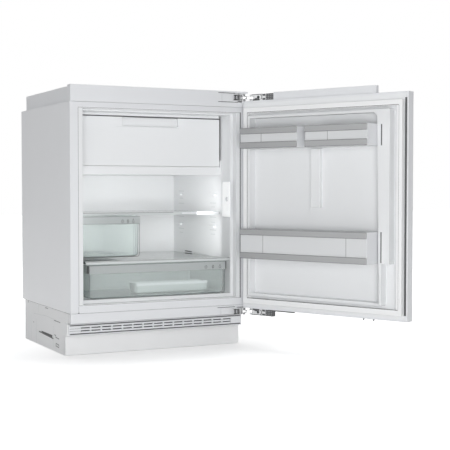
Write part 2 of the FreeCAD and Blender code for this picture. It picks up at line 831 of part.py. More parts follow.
# Crisper: glass cover on the side ribs, drawer on the cavity floor
def crisper():
    half = cavity_half - d.shelf_side_gap
    y_front = front + d.crisper_cover_front
    z = body_bottom + d.crisper_cover_level
    glass_z = (z, z + d.shelf_glass)
    glass_y = (y_front + d.trim_wall, cavity_back - d.shelf_back_gap)
    node("crisper_cover", box(mirrored(half), glass_y, glass_z))
    trim = box(mirrored(half), (y_front, y_front + d.trim_depth),
               (z - d.trim_wall, glass_z[1] + d.trim_wall))
    slot = box(mirrored(cavity_half), (glass_y[0], y_front + d.trim_depth + d.overrun), glass_z)
    node("crisper_cover_trim", cut(trim, slot))
    wide = cavity_half - d.crisper_side_gap
    low = cavity_floor + d.running_gap
    drawer_y = (front + d.crisper_front, hump_face - d.crisper_back_gap)
    drawer_z = (low, low + d.crisper_height)
    node("crisper_drawer", tub(mirrored(wide), drawer_y, drawer_z, d.crisper_wall))
    node("crisper_handle", box(mirrored(wide), (drawer_y[0] - d.handle_thickness, drawer_y[0]),
                               (drawer_z[1] - d.handle_height, drawer_z[1])))
    clips = []
    for side in (-1, 1):
        span = (wide, wide + d.clip_width) if side > 0 else (-wide - d.clip_width, -wide)
        clips.append(box(span, (drawer_y[0], drawer_y[0] + d.clip_depth),
                         (drawer_z[1] - d.clip_height, drawer_z[1])))
    node("crisper_clips", group(*clips))
    tray_y = drawer_y[0] + d.tray_front_set
    tray_z = low + d.crisper_wall
    tray_right = wide - d.tray_right_gap
    node("crisper_tray", tub((tray_right - d.tray_width, tray_right),
                             (tray_y, tray_y + d.tray_depth), (tray_z, tray_z + d.tray_height),
                             d.crisper_wall))


# Door, drawn closed and then turned open on its hinges
door_half = half_width - d.door_side_inset
door_inner = front - d.door_gap
door_outer = door_inner - d.door_thickness
rack_x = (-door_half + d.rack_free_set, door_half - d.rack_hinge_set)
upper_rack_low = door_top - d.upper_rack_drop - d.upper_rack_height
lower_rack_low = body_bottom + d.lower_rack_level


def from_hinge(distance):
    """The place at a distance from the hinge edge of the closed door."""
    return door_half - distance


def door_slab():
    skin = d.door_skin
    panel_free = -door_half + d.panel_free_inset
    panel_z = (door_bottom + d.panel_edge_inset, door_top - d.panel_edge_inset)
    panel_x = (panel_free, door_half - d.panel_edge_inset)
    pan = box(mirrored(door_half), (door_outer, door_inner), (door_bottom, door_top))
    pan_inside = box(mirrored(door_half - skin), (door_outer + skin, door_inner - skin),
                     (door_bottom + skin, door_top - skin))
    mouth = box((-door_half + d.rim_fold, door_half - skin),
                (door_inner - skin * 2, door_inner + d.overrun),
                (door_bottom + skin, door_top - skin))
    node("door_outer_skin", cut(pan, pan_inside, mouth), DOOR_POSE)
    plate = box(panel_x, (door_inner - d.panel_wall, door_inner), panel_z)
    foam_back = door_inner - d.panel_wall
    node("door_foam", box((panel_free, door_half - skin), (door_outer + skin, foam_back),
                          (door_bottom + skin, door_top - skin)), DOOR_POSE)
    dyke_y = (door_inner, door_inner + d.dyke_height)
    dyke_z = (door_bottom + d.dyke_bottom, door_top - d.dyke_top_gap)
    hinge_x = (from_hinge(d.dyke_hinge_set + d.dyke_hinge_width), from_hinge(d.dyke_hinge_set))
    free_edge = -door_half + d.dyke_free_set
    free_inner = free_edge + d.dyke_free_width
    lower_edge = free_inner - d.dyke_lower_width
    columns = [box(hinge_x, dyke_y, dyke_z),
               box((free_edge, free_inner), dyke_y, (lower_rack_low, dyke_z[1])),
               box((lower_edge, free_inner), dyke_y, (dyke_z[0], lower_rack_low)),
               box((free_edge, hinge_x[1]), dyke_y, (dyke_z[1] - d.dyke_bar, dyke_z[1])),
               box((lower_edge, hinge_x[1]), dyke_y, (dyke_z[0], dyke_z[0] + d.dyke_bar))]
    post_z = (lower_rack_low + d.lower_rack_height + d.post_rise, upper_rack_low - d.rack_wall)
    post_x = (rack_x[0] + rack_x[1]) / 2 - d.post_shift
    post = box((post_x - d.post_width / 2, post_x + d.post_width / 2),
               (door_inner, door_inner + d.post_height), post_z)
    node("door_inner_panel", fuse(plate, post, *columns), DOOR_POSE)
    seal_x = mirrored(door_half - d.gasket_outer_inset)
    seal_z = (door_bottom + d.gasket_bottom_inset, door_top - d.gasket_top_inset)
    seal = ring(seal_x, (door_inner, front - d.gasket_seat_gap), seal_z, d.gasket_width)
    node("door_gasket", seal, DOOR_POSE)


def furniture_rail():
    y = (door_outer + d.rail_front_inset, door_outer + d.rail_front_inset + d.rail_depth)
    x = mirrored(door_half - d.rail_end_set)
    bolts = [rod("z", (door_top - d.overrun, door_top + d.rail_height + d.overrun),
                 (place, y[0] + d.rail_depth / 2), d.rail_bolt_radius)
             for place in (x[0] + d.rail_bolt_set, x[1] - d.rail_bolt_set)]
    node("furniture_rail", cut(box(x, y, (door_top, door_top + d.rail_height)), *bolts), DOOR_POSE)


def door_rack(name, x, level, height, divider_shares, loose_dividers):
    y = (door_inner + d.running_gap, door_inner + d.rack_depth - d.rack_rail_thickness)
    z = (level, level + height)
    wall = d.rack_wall
    half = d.divider_thickness / 2
    dividers = []
    for share in divider_shares:
        place = x[1] - (x[1] - x[0]) * share
        dividers.append(box((place - half, place + half), (y[0] + wall, y[1] - wall),
                            (z[0] + wall, z[0] + wall + d.divider_height)))
    tray = tub(x, y, z, wall)
    if loose_dividers:
        node(f"{name}_rack", tray, DOOR_POSE)
        node(f"{name}_rack_dividers", group(*dividers), DOOR_POSE)
    else:
        node(f"{name}_rack", fuse(tray, *dividers), DOOR_POSE)
    rails = [box((x[0], x[1]), (y[1], y[1] + d.rack_rail_thickness), (low, low + d.rack_rail_height))
             for low in (z[0], z[1] - d.rack_rail_height)]
    node(f"{name}_rack_rails", group(*rails), DOOR_POSE)


def door_racks():
    free_end, hinge_end = rack_x
    half = (hinge_end - free_end - d.rack_gap) / 2
    web_share = 0.42
    bottle_shares = (0.2, 0.81)
    halves = {"upper_hinge": (hinge_end - half, hinge_end), "upper_latch": (free_end, free_end + half)}
    for name, span in halves.items():
        door_rack(name, span, upper_rack_low, d.upper_rack_height, (web_share,), False)
    door_rack("lower", rack_x, lower_rack_low, d.lower_rack_height, bottle_shares, True)


# Hinges: a bracket in the cabinet, a link on two pins and a leaf on the door's edge, above and below
def hinge(low, cabinet_z, door_z):
    """The pieces of one hinge; cabinet_z and door_z are the faces its bracket and its leaf stand on."""
    knuckle, pin = d.knuckle_radius, d.hinge_pin_radius
    middle = low + d.hinge_height / 2
    link_z = (middle - d.link_height / 2, middle + d.link_height / 2)
    fork = [(link_z[0] - d.running_gap - d.knuckle_height, link_z[0] - d.running_gap),
            (link_z[1] + d.running_gap, link_z[1] + d.running_gap + d.knuckle_height)]
    span = (fork[0][0], fork[1][1])
    long_span = (span[0] - d.overrun, span[1] + d.overrun)

    def reach(face):
        return (face, span[1]) if face.number < middle.number else (span[0], face)

    px, py = cabinet_pivot
    plate_y = (front + d.bracket_depth - d.bracket_plate, front + d.bracket_depth)
    plate_x = (px - d.bracket_length, px + knuckle)
    bracket = [box(plate_x, plate_y, span),
               box(plate_x, (front + d.apron_thickness, plate_y[1]), reach(cabinet_z))]
    qx, qy = door_pivot
    leaf_x = (qx - d.leaf_length, qx)
    leaf_y = (qy - knuckle, qy - knuckle + d.leaf_depth)
    leaf = [box((leaf_x[0], qx - knuckle * 2), leaf_y, reach(door_z))]
    for z in fork:
        bracket.append(rod("z", z, (px, py), knuckle))
        bracket.append(box((px - knuckle, px + knuckle), (py, plate_y[1]), z))
        leaf.append(rod("z", z, (qx, qy), knuckle))
        leaf.append(box(leaf_x, leaf_y, z))
    eyes = [rod("z", link_z, centre, knuckle) for centre in (cabinet_pivot, door_pivot)]
    eyes.append(box((px - knuckle, px + knuckle), (qy, py), link_z))
    link_bores = [rod("z", span, centre, pin + d.fit) for centre in (cabinet_pivot, door_pivot)]
    return {
        "hinge_brackets": cut(fuse(*bracket), rod("z", long_span, cabinet_pivot, pin)),
        "hinge_cabinet_pins": rod("z", span, cabinet_pivot, pin),
        "hinge_links": cut(fuse(*eyes), *link_bores),
        "hinge_leaves": cut(fuse(*leaf), rod("z", long_span, door_pivot, pin)),
        "hinge_door_pins": rod("z", span, door_pivot, pin),
        "hinge_caps": box((leaf_x[0] - d.leaf_cap_length, leaf_x[0]), leaf_y, reach(door_z)),
    }


def hinges():
    upper = hinge(body_top + d.hinge_level_gap, body_top, door_top)
    lower = hinge(door_bottom - d.hinge_height, body_bottom, door_bottom)
    poses = {"hinge_links": LINK_POSE, "hinge_leaves": DOOR_POSE, "hinge_door_pins": DOOR_POSE,
             "hinge_caps": DOOR_POSE}
    for name in upper:
        node(name, group(upper[name], lower[name]), poses.get(name))


cabinet_shell()
inner_liner()
top_cover()
base_tray()
base_front()
compressor()
condenser()
fan()
control_box()
freezer()
light_unit()
glass_shelf()
storage_box()
crisper()
door_slab()
furniture_rail()
door_racks()
hinges()

doc.recompute()
for item in doc.Objects:
    if "Invalid" in item.State or "Error" in item.State:
        raise RuntimeError(f"{item.Label} failed: {item.State}")
for item in nodes:
    if item.Shape.isNull() or not item.Shape.isValid():
        raise RuntimeError(f"{item.Label} has no valid shape")

os.makedirs("parts", exist_ok=True)
for item in nodes:
    item.Shape.exportStep(f"parts/{item.Label}.step")
print(f"{len(nodes)} nodes written")
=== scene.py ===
# %% [markdown]
# An undercounter fridge, dressed from its frame.
# The frame brings every piece at its real size and place, in metres. This lesson gives each piece
# the form and finish that the maker gave it: pressed steel, moulded plastic, drawn metal and glass.

# %% Load the frame
import json
import math

import bmesh
import bpy
from mathutils import Matrix, Vector

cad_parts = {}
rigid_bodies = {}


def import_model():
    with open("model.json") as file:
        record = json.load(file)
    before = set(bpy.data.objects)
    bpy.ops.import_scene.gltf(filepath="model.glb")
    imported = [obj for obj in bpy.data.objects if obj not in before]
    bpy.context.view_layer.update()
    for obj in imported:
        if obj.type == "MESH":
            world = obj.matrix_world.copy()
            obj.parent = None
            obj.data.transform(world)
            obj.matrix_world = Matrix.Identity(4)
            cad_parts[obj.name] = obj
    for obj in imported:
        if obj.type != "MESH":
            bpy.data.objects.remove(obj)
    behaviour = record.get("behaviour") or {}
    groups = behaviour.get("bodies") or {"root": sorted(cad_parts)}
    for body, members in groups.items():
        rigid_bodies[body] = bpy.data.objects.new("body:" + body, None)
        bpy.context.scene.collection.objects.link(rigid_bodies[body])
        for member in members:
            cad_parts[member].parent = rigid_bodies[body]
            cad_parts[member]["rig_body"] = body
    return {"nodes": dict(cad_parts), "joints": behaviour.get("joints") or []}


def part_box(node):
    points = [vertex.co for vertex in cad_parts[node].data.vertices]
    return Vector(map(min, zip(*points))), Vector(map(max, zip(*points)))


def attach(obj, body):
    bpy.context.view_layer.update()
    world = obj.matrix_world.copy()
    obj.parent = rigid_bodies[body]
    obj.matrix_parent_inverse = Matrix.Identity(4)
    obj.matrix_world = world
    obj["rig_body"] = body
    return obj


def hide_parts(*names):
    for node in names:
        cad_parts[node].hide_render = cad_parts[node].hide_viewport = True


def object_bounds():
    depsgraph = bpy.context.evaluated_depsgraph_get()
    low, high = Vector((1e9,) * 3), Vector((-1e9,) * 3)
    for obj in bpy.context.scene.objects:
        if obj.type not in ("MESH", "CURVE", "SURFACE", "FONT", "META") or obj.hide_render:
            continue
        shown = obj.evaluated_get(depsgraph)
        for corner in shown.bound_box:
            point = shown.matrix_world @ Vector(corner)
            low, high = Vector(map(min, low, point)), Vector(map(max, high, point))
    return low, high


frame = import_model()
cad_low, cad_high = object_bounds()
scene = bpy.context.scene
MM = 0.001

# %% [markdown]
# The camera stands to the left of the fridge, a little above its middle, with a long lens.
# A wide lens from nearby would make the upright edges lean; a long lens keeps them upright.

# %% Camera
camera_place = Vector((-1.31789, -3.26038, 0.51527))
camera_turn = math.radians(-27.06)
camera_dip = math.radians(2.09)
camera = bpy.data.objects.new("camera", bpy.data.cameras.new("camera"))
camera.data.lens = 84.5
camera.data.sensor_width = 36
camera.location = camera_place
camera.rotation_euler = (math.radians(90) - camera_dip, 0, camera_turn)
scene.collection.objects.link(camera)
scene.camera = camera
print("camera", tuple(round(c, 2) for c in camera.location))

# %% [markdown]
# A white studio: floor and world look pure white to the camera, and to what mirrors or refracts them.
# Stronger lamps would whiten the background too, but they would bleach a white fridge. The Light Path node
# tells the rays that are seen from the light that bounces, so the background is white at no cost in light.


# %% Studio world
def seen_mask(tree):
    """One where a ray comes straight from the camera, a mirror or a glass; zero for light that bounces."""
    path = tree.nodes.new("ShaderNodeLightPath")
    total = path.outputs["Is Camera Ray"]
    for label in ("Is Glossy Ray", "Is Transmission Ray"):
        step = tree.nodes.new("ShaderNodeMath")
        step.operation = "MAXIMUM"
        tree.links.new(total, step.inputs[0])
        tree.links.new(path.outputs[label], step.inputs[1])
        total = step.outputs[0]
    return total


def studio_world(ambient):
    world = bpy.data.worlds.new("studio")
    scene.world = world
    world.use_nodes = True
    tree = world.node_tree
    link = tree.links.new
    tree.nodes.clear()
    output = tree.nodes.new("ShaderNodeOutputWorld")
    mix = tree.nodes.new("ShaderNodeMixShader")
    room, white = (tree.nodes.new("ShaderNodeBackground") for _ in range(2))
    room.inputs["Color"].default_value = (0.97, 0.985, 1, 1)
    room.inputs["Strength"].default_value = ambient
    white.inputs["Color"].default_value = (1, 1, 1, 1)
    link(seen_mask(tree), mix.inputs["Fac"])
    link(room.outputs[0], mix.inputs[1])
    link(white.outputs[0], mix.inputs[2])
    link(mix.outputs[0], output.inputs["Surface"])


scene.view_settings.view_transform = "Standard"
studio_world(ambient=0.27)
print("world", scene.world.name)

# %% [markdown]
# The floor is a sheet of paper that also glows. A floor that only glowed would lose the shadow under
# the plinth, and plain paper would be grey. So a glow is added to real diffuse paper, and a colour ramp
# over the distance from the plinth keeps it weak in the shadow and lets it grow outward. Stretching the
# floor object stretches its own coordinates too, which makes the ramp an oval.


# %% Studio floor
def studio_floor(reach, glow_stops):
    """A paper floor; the stops give the glow at shares of the reach from its middle."""
    bm = bmesh.new()
    bmesh.ops.create_grid(bm, x_segments=1, y_segments=1, size=9)
    mesh = bpy.data.meshes.new("floor")
    bm.to_mesh(mesh)
    bm.free()
    floor = bpy.data.objects.new("floor", mesh)
    floor.location = (0, -0.2, cad_low.z - 0.5 * MM)
    floor.scale = (*reach, 1)
    scene.collection.objects.link(floor)
    material = bpy.data.materials.new("studio_floor")
    material.use_nodes = True
    tree = material.node_tree
    link = tree.links.new
    paper = tree.nodes["Principled BSDF"]
    paper.inputs["Base Color"].default_value = (0.85, 0.85, 0.85, 1)
    paper.inputs["Roughness"].default_value = 1
    paper.inputs["Specular IOR Level"].default_value = 0
    glow = tree.nodes.new("ShaderNodeEmission")
    both = tree.nodes.new("ShaderNodeAddShader")
    place = tree.nodes.new("ShaderNodeTexCoord")
    away = tree.nodes.new("ShaderNodeVectorMath")
    away.operation = "LENGTH"
    fade = tree.nodes.new("ShaderNodeValToRGB")
    for _ in glow_stops[2:]:
        fade.color_ramp.elements.new(0.5)
    for stop, (share, glow_there) in zip(fade.color_ramp.elements, glow_stops):
        stop.position = share
        stop.color = (glow_there, glow_there, glow_there, 1)
    strength = tree.nodes.new("ShaderNodeMath")
    strength.operation = "MULTIPLY"
    link(place.outputs["Object"], away.inputs[0])
    link(away.outputs["Value"], fade.inputs["Fac"])
    link(seen_mask(tree), strength.inputs[0])
    link(fade.outputs["Color"], strength.inputs[1])
    link(strength.outputs[0], glow.inputs["Strength"])
    link(paper.outputs[0], both.inputs[0])
    link(glow.outputs[0], both.inputs[1])
    link(both.outputs[0], tree.nodes["Material Output"].inputs["Surface"])
    mesh.materials.append(material)


studio_floor(reach=(2.9, 1.7), glow_stops=((0.094, 0.38), (0.176, 0.56), (0.9, 1.0)))
print("floor at", round(cad_low.z - 0.5 * MM, 4))

# %% [markdown]
# Broad softboxes give white goods their soft, even tone; a small lamp would draw hard shadows on the racks.
# One stands beside the camera, one on the left, one hangs above, a low one reaches the plinth, and one behind
# on the right lights the door's outside and the back. The panels in the cabinet stand for the fridge's own
# light: they light the liner, and the camera does not see them.


# %% Lamps
def soft_lamp(name, place, aim, size, watts):
    lamp = bpy.data.lights.new(name, "AREA")
    lamp.shape = "RECTANGLE"
    lamp.size, lamp.size_y = size
    lamp.energy = watts
    holder = bpy.data.objects.new(name, lamp)
    holder.location = place
    holder.rotation_mode = "QUATERNION"
    holder.rotation_quaternion = (Vector(aim) - Vector(place)).to_track_quat("-Z", "Y")
    scene.collection.objects.link(holder)
    return holder


# Each softbox has a place, an aim, a size and a power in watts.
SOFTBOXES = {
    "front_softbox": ((-1.1, -3.3, 0.5), (0, 0, 0.4), (1.6, 1.4), 35),
    "left_softbox": ((-3.0, -1.6, 0.7), (0.2, -0.3, 0.4), (1.6, 1.4), 7),
    "back_softbox": ((2.6, 1.9, 1.0), (0.1, 0, 0.4), (1.8, 1.6), 22),
    "top_softbox": ((0.1, 0.3, 3.0), (0.1, 0.3, 0), (1.8, 1.8), 30),
}
# Each panel has a place across, behind the liner's edge and up, a direction, a size and a power in watts.
PANELS = {
    "mouth_panel": ((0, 0.006, 0.46), (0, 1, 0), (0.46, 0.52), 0.06),
    "cavity_panel": ((0, 0.105, 0.41), (0.12, 1, 0), (0.44, 0.22), 0.60),
    "side_panel": ((-0.246, 0.22, 0.43), (1, 0, 0), (0.38, 0.24), 0.36),
    "crisper_panel": ((0, 0.045, 0.22), (0, 1, 0), (0.44, 0.09), 0.041),
}
for name, (place, aim, size, watts) in SOFTBOXES.items():
    soft_lamp(name, place, aim, size, watts)
liner_low, liner_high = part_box("inner_liner")
for name, (inside, facing, size, watts) in PANELS.items():
    place = Vector((0, liner_low.y, 0)) + Vector(inside)
    soft_lamp(name, place, place + Vector(facing), size, watts).visible_camera = False
soft_lamp("low_softbox", (-0.8, -2.4, 0.25), (0, -0.2, 0.05), (1.4, 0.4), 10)

# %% [markdown]
# Finishes are built from a few kinds of nodes. Nodes could be placed by hand each time, but a helper for
# each kind keeps a node tree as short as the sum that it stands for.


# %% Node helpers
def new_group(name, inputs, outputs):
    group = bpy.data.node_groups.new(name, "ShaderNodeTree")
    for label, kind, value in inputs:
        socket = group.interface.new_socket(label, in_out="INPUT", socket_type=kind)
        socket.default_value = value
    for label, kind in outputs:
        group.interface.new_socket(label, in_out="OUTPUT", socket_type=kind)
    return group, group.nodes.new("NodeGroupInput"), group.nodes.new("NodeGroupOutput")


def feed(group, socket, value):
    """Sets a socket to a number, or links it to an output."""
    if isinstance(value, (int, float)):
        socket.default_value = value
    else:
        group.links.new(value, socket)


def math_node(group, operation, first, second):
    step = group.nodes.new("ShaderNodeMath")
    step.operation = operation
    feed(group, step.inputs[0], first)
    feed(group, step.inputs[1], second)
    return step.outputs[0]


def noise(group, coordinates, scale, detail):
    texture = group.nodes.new("ShaderNodeTexNoise")
    texture.inputs["Detail"].default_value = detail
    feed(group, texture.inputs["Scale"], scale)
    feed(group, texture.inputs["Vector"], coordinates)
    return texture.outputs["Fac"]


def shaded(group, colour, amount):
    """The colour, darkened where the amount falls below one."""
    mix = group.nodes.new("ShaderNodeMix")
    mix.data_type = "RGBA"
    mix.blend_type = "MULTIPLY"
    mix.inputs["Factor"].default_value = 1
    group.links.new(colour, mix.inputs["A"])
    group.links.new(amount, mix.inputs["B"])
    return mix.outputs["Result"]


def feed_outputs(group, given, made, pattern, amount, height):
    """The pattern darkens the colour by the named amount and spreads the gloss; the height becomes relief."""
    darker = math_node(group, "MULTIPLY", pattern, given.outputs[amount])
    colour = shaded(group, given.outputs["Colour"], math_node(group, "SUBTRACT", 1, darker))
    offset = math_node(group, "SUBTRACT", pattern, 0.5)
    spread = math_node(group, "MULTIPLY", offset, given.outputs["Gloss Spread"])
    roughness = math_node(group, "ADD", given.outputs["Roughness"], spread)
    for label, value in (("Colour", colour), ("Roughness", roughness), ("Height", height)):
        group.links.new(value, made.inputs[label])


FLOAT, COLOUR, VECTOR = "NodeSocketFloat", "NodeSocketColor", "NodeSocketVector"
SKIN_OUT = [("Colour", COLOUR), ("Roughness", FLOAT), ("Height", FLOAT)]
print("outputs of each group", [label for label, _ in SKIN_OUT])

# %% [markdown]
# Two effects serve all finishes, so each is a node group that a material places with its own values.
# moulded_skin is the fine grain and faint clouding of moulded plastic and powder coat.
# drawn_grain is the lines that rolling or brushing leaves in metal, along one direction.
# A painted picture could show both too, but noise has no seams and no edge where it runs out.


# %% Node groups
def moulded_skin():
    group, given, made = new_group("moulded_skin", [
        ("Colour", COLOUR, (0.8, 0.8, 0.8, 1)), ("Clouding", FLOAT, 0.03), ("Grain Scale", FLOAT, 700),
        ("Roughness", FLOAT, 0.4), ("Gloss Spread", FLOAT, 0.08)], SKIN_OUT)
    place = group.nodes.new("ShaderNodeTexCoord").outputs["Object"]
    cloud = noise(group, place, 6, 3)
    grain = noise(group, place, given.outputs["Grain Scale"], 2)
    feed_outputs(group, given, made, cloud, "Clouding", grain)
    return group


def drawn_grain():
    group, given, made = new_group("drawn_grain", [
        ("Colour", COLOUR, (0.6, 0.6, 0.6, 1)), ("Streaks", FLOAT, 0.12), ("Stretch", VECTOR, (20, 20, 1500)),
        ("Roughness", FLOAT, 0.3), ("Gloss Spread", FLOAT, 0.12)], SKIN_OUT)
    place = group.nodes.new("ShaderNodeTexCoord").outputs["Object"]
    stretch = group.nodes.new("ShaderNodeVectorMath")
    stretch.operation = "MULTIPLY"
    group.links.new(place, stretch.inputs[0])
    group.links.new(given.outputs["Stretch"], stretch.inputs[1])
    lines = noise(group, stretch.outputs[0], 1, 4)
    feed_outputs(group, given, made, lines, "Streaks", lines)
    return group


SKIN, DRAWN = moulded_skin(), drawn_grain()
print("groups", [g.name for g in bpy.data.node_groups])

# %% [markdown]
# Each finish is one Principled material. The group feeds its colour, gloss and bump, and plain constants
# go straight on the shader's own sockets. Every material takes the name of the record's material slot.
# One function makes them all, because a table of values is easier to compare than twenty node trees.


# %% Finish maker
FINISHES = {}


def finish(slot, group, colour, roughness, bump=0.1, depth=0.05, values=None, sockets=None):
    """A Principled material fed by one of the groups; depth is the bump's height in millimetres."""
    material = bpy.data.materials.new(slot)
    material.use_nodes = True
    tree = material.node_tree
    link = tree.links.new
    shader = tree.nodes["Principled BSDF"]
    effect = tree.nodes.new("ShaderNodeGroup")
    effect.node_tree = group
    effect.inputs["Colour"].default_value = (*colour, 1)
    effect.inputs["Roughness"].default_value = roughness
    for label, value in (values or {}).items():
        effect.inputs[label].default_value = value
    relief = tree.nodes.new("ShaderNodeBump")
    relief.inputs["Strength"].default_value = bump
    relief.inputs["Distance"].default_value = depth * MM
    link(effect.outputs["Colour"], shader.inputs["Base Color"])
    link(effect.outputs["Roughness"], shader.inputs["Roughness"])
    link(effect.outputs["Height"], relief.inputs["Height"])
    link(relief.outputs["Normal"], shader.inputs["Normal"])
    for label, value in (sockets or {}).items():
        shader.inputs[label].default_value = value
    FINISHES[slot] = material


print("finishes so far", len(FINISHES))

# %% [markdown]
# Plastics differ in tone and gloss, powder coat has a thin clear coat, metals have streaks, and glass and
# clear plastic let light through. A low refraction keeps the thin clear walls from turning grey.

# %% Finishes
METAL = {"Metallic": 1}
# Each finish has a group, a colour, a roughness, a bump strength and a bump depth in millimetres.
finish("white_steel", SKIN, (0.79, 0.80, 0.82), 0.34, 0.12, 0.04, {"Grain Scale": 420, "Clouding": 0.02},
       {"Coat Weight": 0.15, "Coat Roughness": 0.2})
finish("white_plastic", SKIN, (0.80, 0.81, 0.83), 0.42, 0.15, 0.03, {"Grain Scale": 1100})
# base_plastic is paler than white_plastic: partly the base's own tone, partly painted light for the shade
# near the floor.
finish("base_plastic", SKIN, (0.92, 0.925, 0.93), 0.5, 0.2, 0.05, {"Grain Scale": 800, "Clouding": 0.06})
finish("liner", SKIN, (0.82, 0.83, 0.84), 0.5, 0.1, 0.03, {"Grain Scale": 900})
finish("galvanised", DRAWN, (0.50, 0.51, 0.52), 0.6, 0.1, 0.02, {"Stretch": (60, 60, 90)}, METAL)
finish("foam", SKIN, (0.72, 0.62, 0.42), 0.95, 0.6, 0.4, {"Grain Scale": 300, "Clouding": 0.25})
finish("seal", SKIN, (0.91, 0.915, 0.92), 0.6, 0.15, 0.03, {"Grain Scale": 600})
finish("rack_plastic", SKIN, (0.69, 0.70, 0.71), 0.3, 0.05, 0.02, {"Grain Scale": 900})
finish("rail_metal", DRAWN, (0.38, 0.385, 0.39), 0.45, 0.12, 0.01, {"Stretch": (25, 25, 2200)},
       {"Metallic": 0.6})
finish("glass", SKIN, (0.97, 0.99, 0.98), 0.03, 0.0, 0.01, {"Grain Scale": 30, "Gloss Spread": 0.01},
       {"Transmission Weight": 1, "IOR": 1.3})
finish("clear_plastic", SKIN, (0.92, 0.965, 0.955), 0.08, 0.02, 0.02,
       {"Grain Scale": 500, "Gloss Spread": 0.05}, {"Transmission Weight": 0.82, "IOR": 1.2})
finish("handle_plastic", SKIN, (0.64, 0.67, 0.67), 0.3, 0.05, 0.02, {"Grain Scale": 700},
       {"Transmission Weight": 0.4, "IOR": 1.3})
finish("tray_plastic", SKIN, (0.60, 0.63, 0.63), 0.35, 0.08, 0.02, {"Grain Scale": 700})
finish("dark_plastic", SKIN, (0.09, 0.092, 0.095), 0.45, 0.3, 0.06, {"Grain Scale": 900, "Clouding": 0.1})
finish("hinge_steel", DRAWN, (0.80, 0.805, 0.81), 0.42, 0.05, 0.01, {"Stretch": (300, 300, 20)}, METAL)
finish("lamp_cover", SKIN, (0.92, 0.93, 0.93), 0.35, 0.1, 0.02, {"Grain Scale": 500},
       {"Emission Color": (1, 1, 1, 1), "Emission Strength": 0.2})
finish("dial_plastic", SKIN, (0.78, 0.79, 0.80), 0.35, 0.1, 0.02, {"Grain Scale": 900})
finish("black_enamel", SKIN, (0.03, 0.03, 0.032), 0.28, 0.2, 0.05, {"Grain Scale": 350, "Clouding": 0.2},
       {"Coat Weight": 0.3, "Coat Roughness": 0.15})
finish("copper", DRAWN, (0.72, 0.38, 0.24), 0.3, 0.08, 0.01, {"Stretch": (40, 400, 400)}, METAL)
finish("grommet_rubber", SKIN, (0.05, 0.05, 0.05), 0.75, 0.3, 0.08, {"Grain Scale": 500})
finish("foot_plastic", SKIN, (0.16, 0.165, 0.17), 0.55, 0.25, 0.06, {"Grain Scale": 700})
print("finishes", len(FINISHES))

# %% [markdown]
# Door pieces are easier to draw on the shut door, where they are square to the axes, and are then
# turned open. Drawing them on the open door would need slanted measures for every line. The two hinge
# joints say where the pivots are and how far each one turns.

# %% Turning the shut door open
joints = {joint["name"]: joint for joint in frame["joints"]}
opening_angle = -math.radians(joints["door_swing"]["range_deg"][0])


def turn_about(place, angle):
    spot = Matrix.Translation(Vector(place))
    return spot @ Matrix.Rotation(angle, 4, "Z") @ spot.inverted()


LINK_TURN = turn_about(joints["link_swing"]["pos_m"], opening_angle)
DOOR_TURN = turn_about(joints["door_swing"]["pos_m"], opening_angle) @ LINK_TURN
DOOR_BODIES = ("door", "upper_hinge_rack", "upper_latch_rack", "lower_rack")


def turn_of(body):
    if body in DOOR_BODIES:
        return DOOR_TURN
    return LINK_TURN if body == "hinge_link" else Matrix.Identity(4)


def body_of(node):
    return frame["nodes"][node]["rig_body"]


def shut_box(node):
    """The lowest and highest corners of a node, with the door shut."""
    back = turn_of(body_of(node)).inverted()
    places = [back @ vertex.co for vertex in frame["nodes"][node].data.vertices]
    return (Vector(min(p[axis] for p in places) for axis in range(3)),
            Vector(max(p[axis] for p in places) for axis in range(3)))


print("opening", round(math.degrees(opening_angle) * 2), "degrees")

# %% [markdown]
# One function makes every piece: it gives the mesh the finish of its slot, rounds its edges, says which body
# it rides on, and hides the node it stands for. Edges could be rounded in the mesh, but a bevel modifier
# leaves it plain and rounds every sharp edge by one radius, as a mould does.

# %% Adding a piece
SMOOTH_BELOW = math.radians(35)
ROUND_ABOVE = math.radians(40)


def add_piece(bm, name, slot, body, stands_for=(), edge=0.0, segments=2, turned=False):
    """Makes an object of a bmesh, in its finish, riding on its body; edge is a rounding in millimetres."""
    mesh = bpy.data.meshes.new(name)
    bmesh.ops.recalc_face_normals(bm, faces=bm.faces)
    bm.to_mesh(mesh)
    bm.free()
    if turned:
        mesh.transform(turn_of(body))
    mesh.materials.append(FINISHES[slot])
    mesh.polygons.foreach_set("use_smooth", [True] * len(mesh.polygons))
    mesh.set_sharp_from_angle(angle=SMOOTH_BELOW)
    piece = bpy.data.objects.new(name, mesh)
    scene.collection.objects.link(piece)
    if edge:
        bevel = piece.modifiers.new("rounded_edges", "BEVEL")
        bevel.width = edge * MM
        bevel.segments = segments
        bevel.limit_method = "ANGLE"
        bevel.angle_limit = ROUND_ABOVE
        bevel.harden_normals = True
    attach(piece, body)
    if stands_for:
        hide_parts(*stands_for)


print("edges are rounded above", round(math.degrees(ROUND_ABOVE)), "degrees")

# %% [markdown]
# The cabinet is a powder-coated steel wrap round a vacuum-formed liner, with a moulded cover on top.
# Where a solid already has the right form, drawing it again would only bring mistakes. So it is copied, its
# flat faces are joined up, and its edges are rounded: little for folded steel, more for the formed liner.


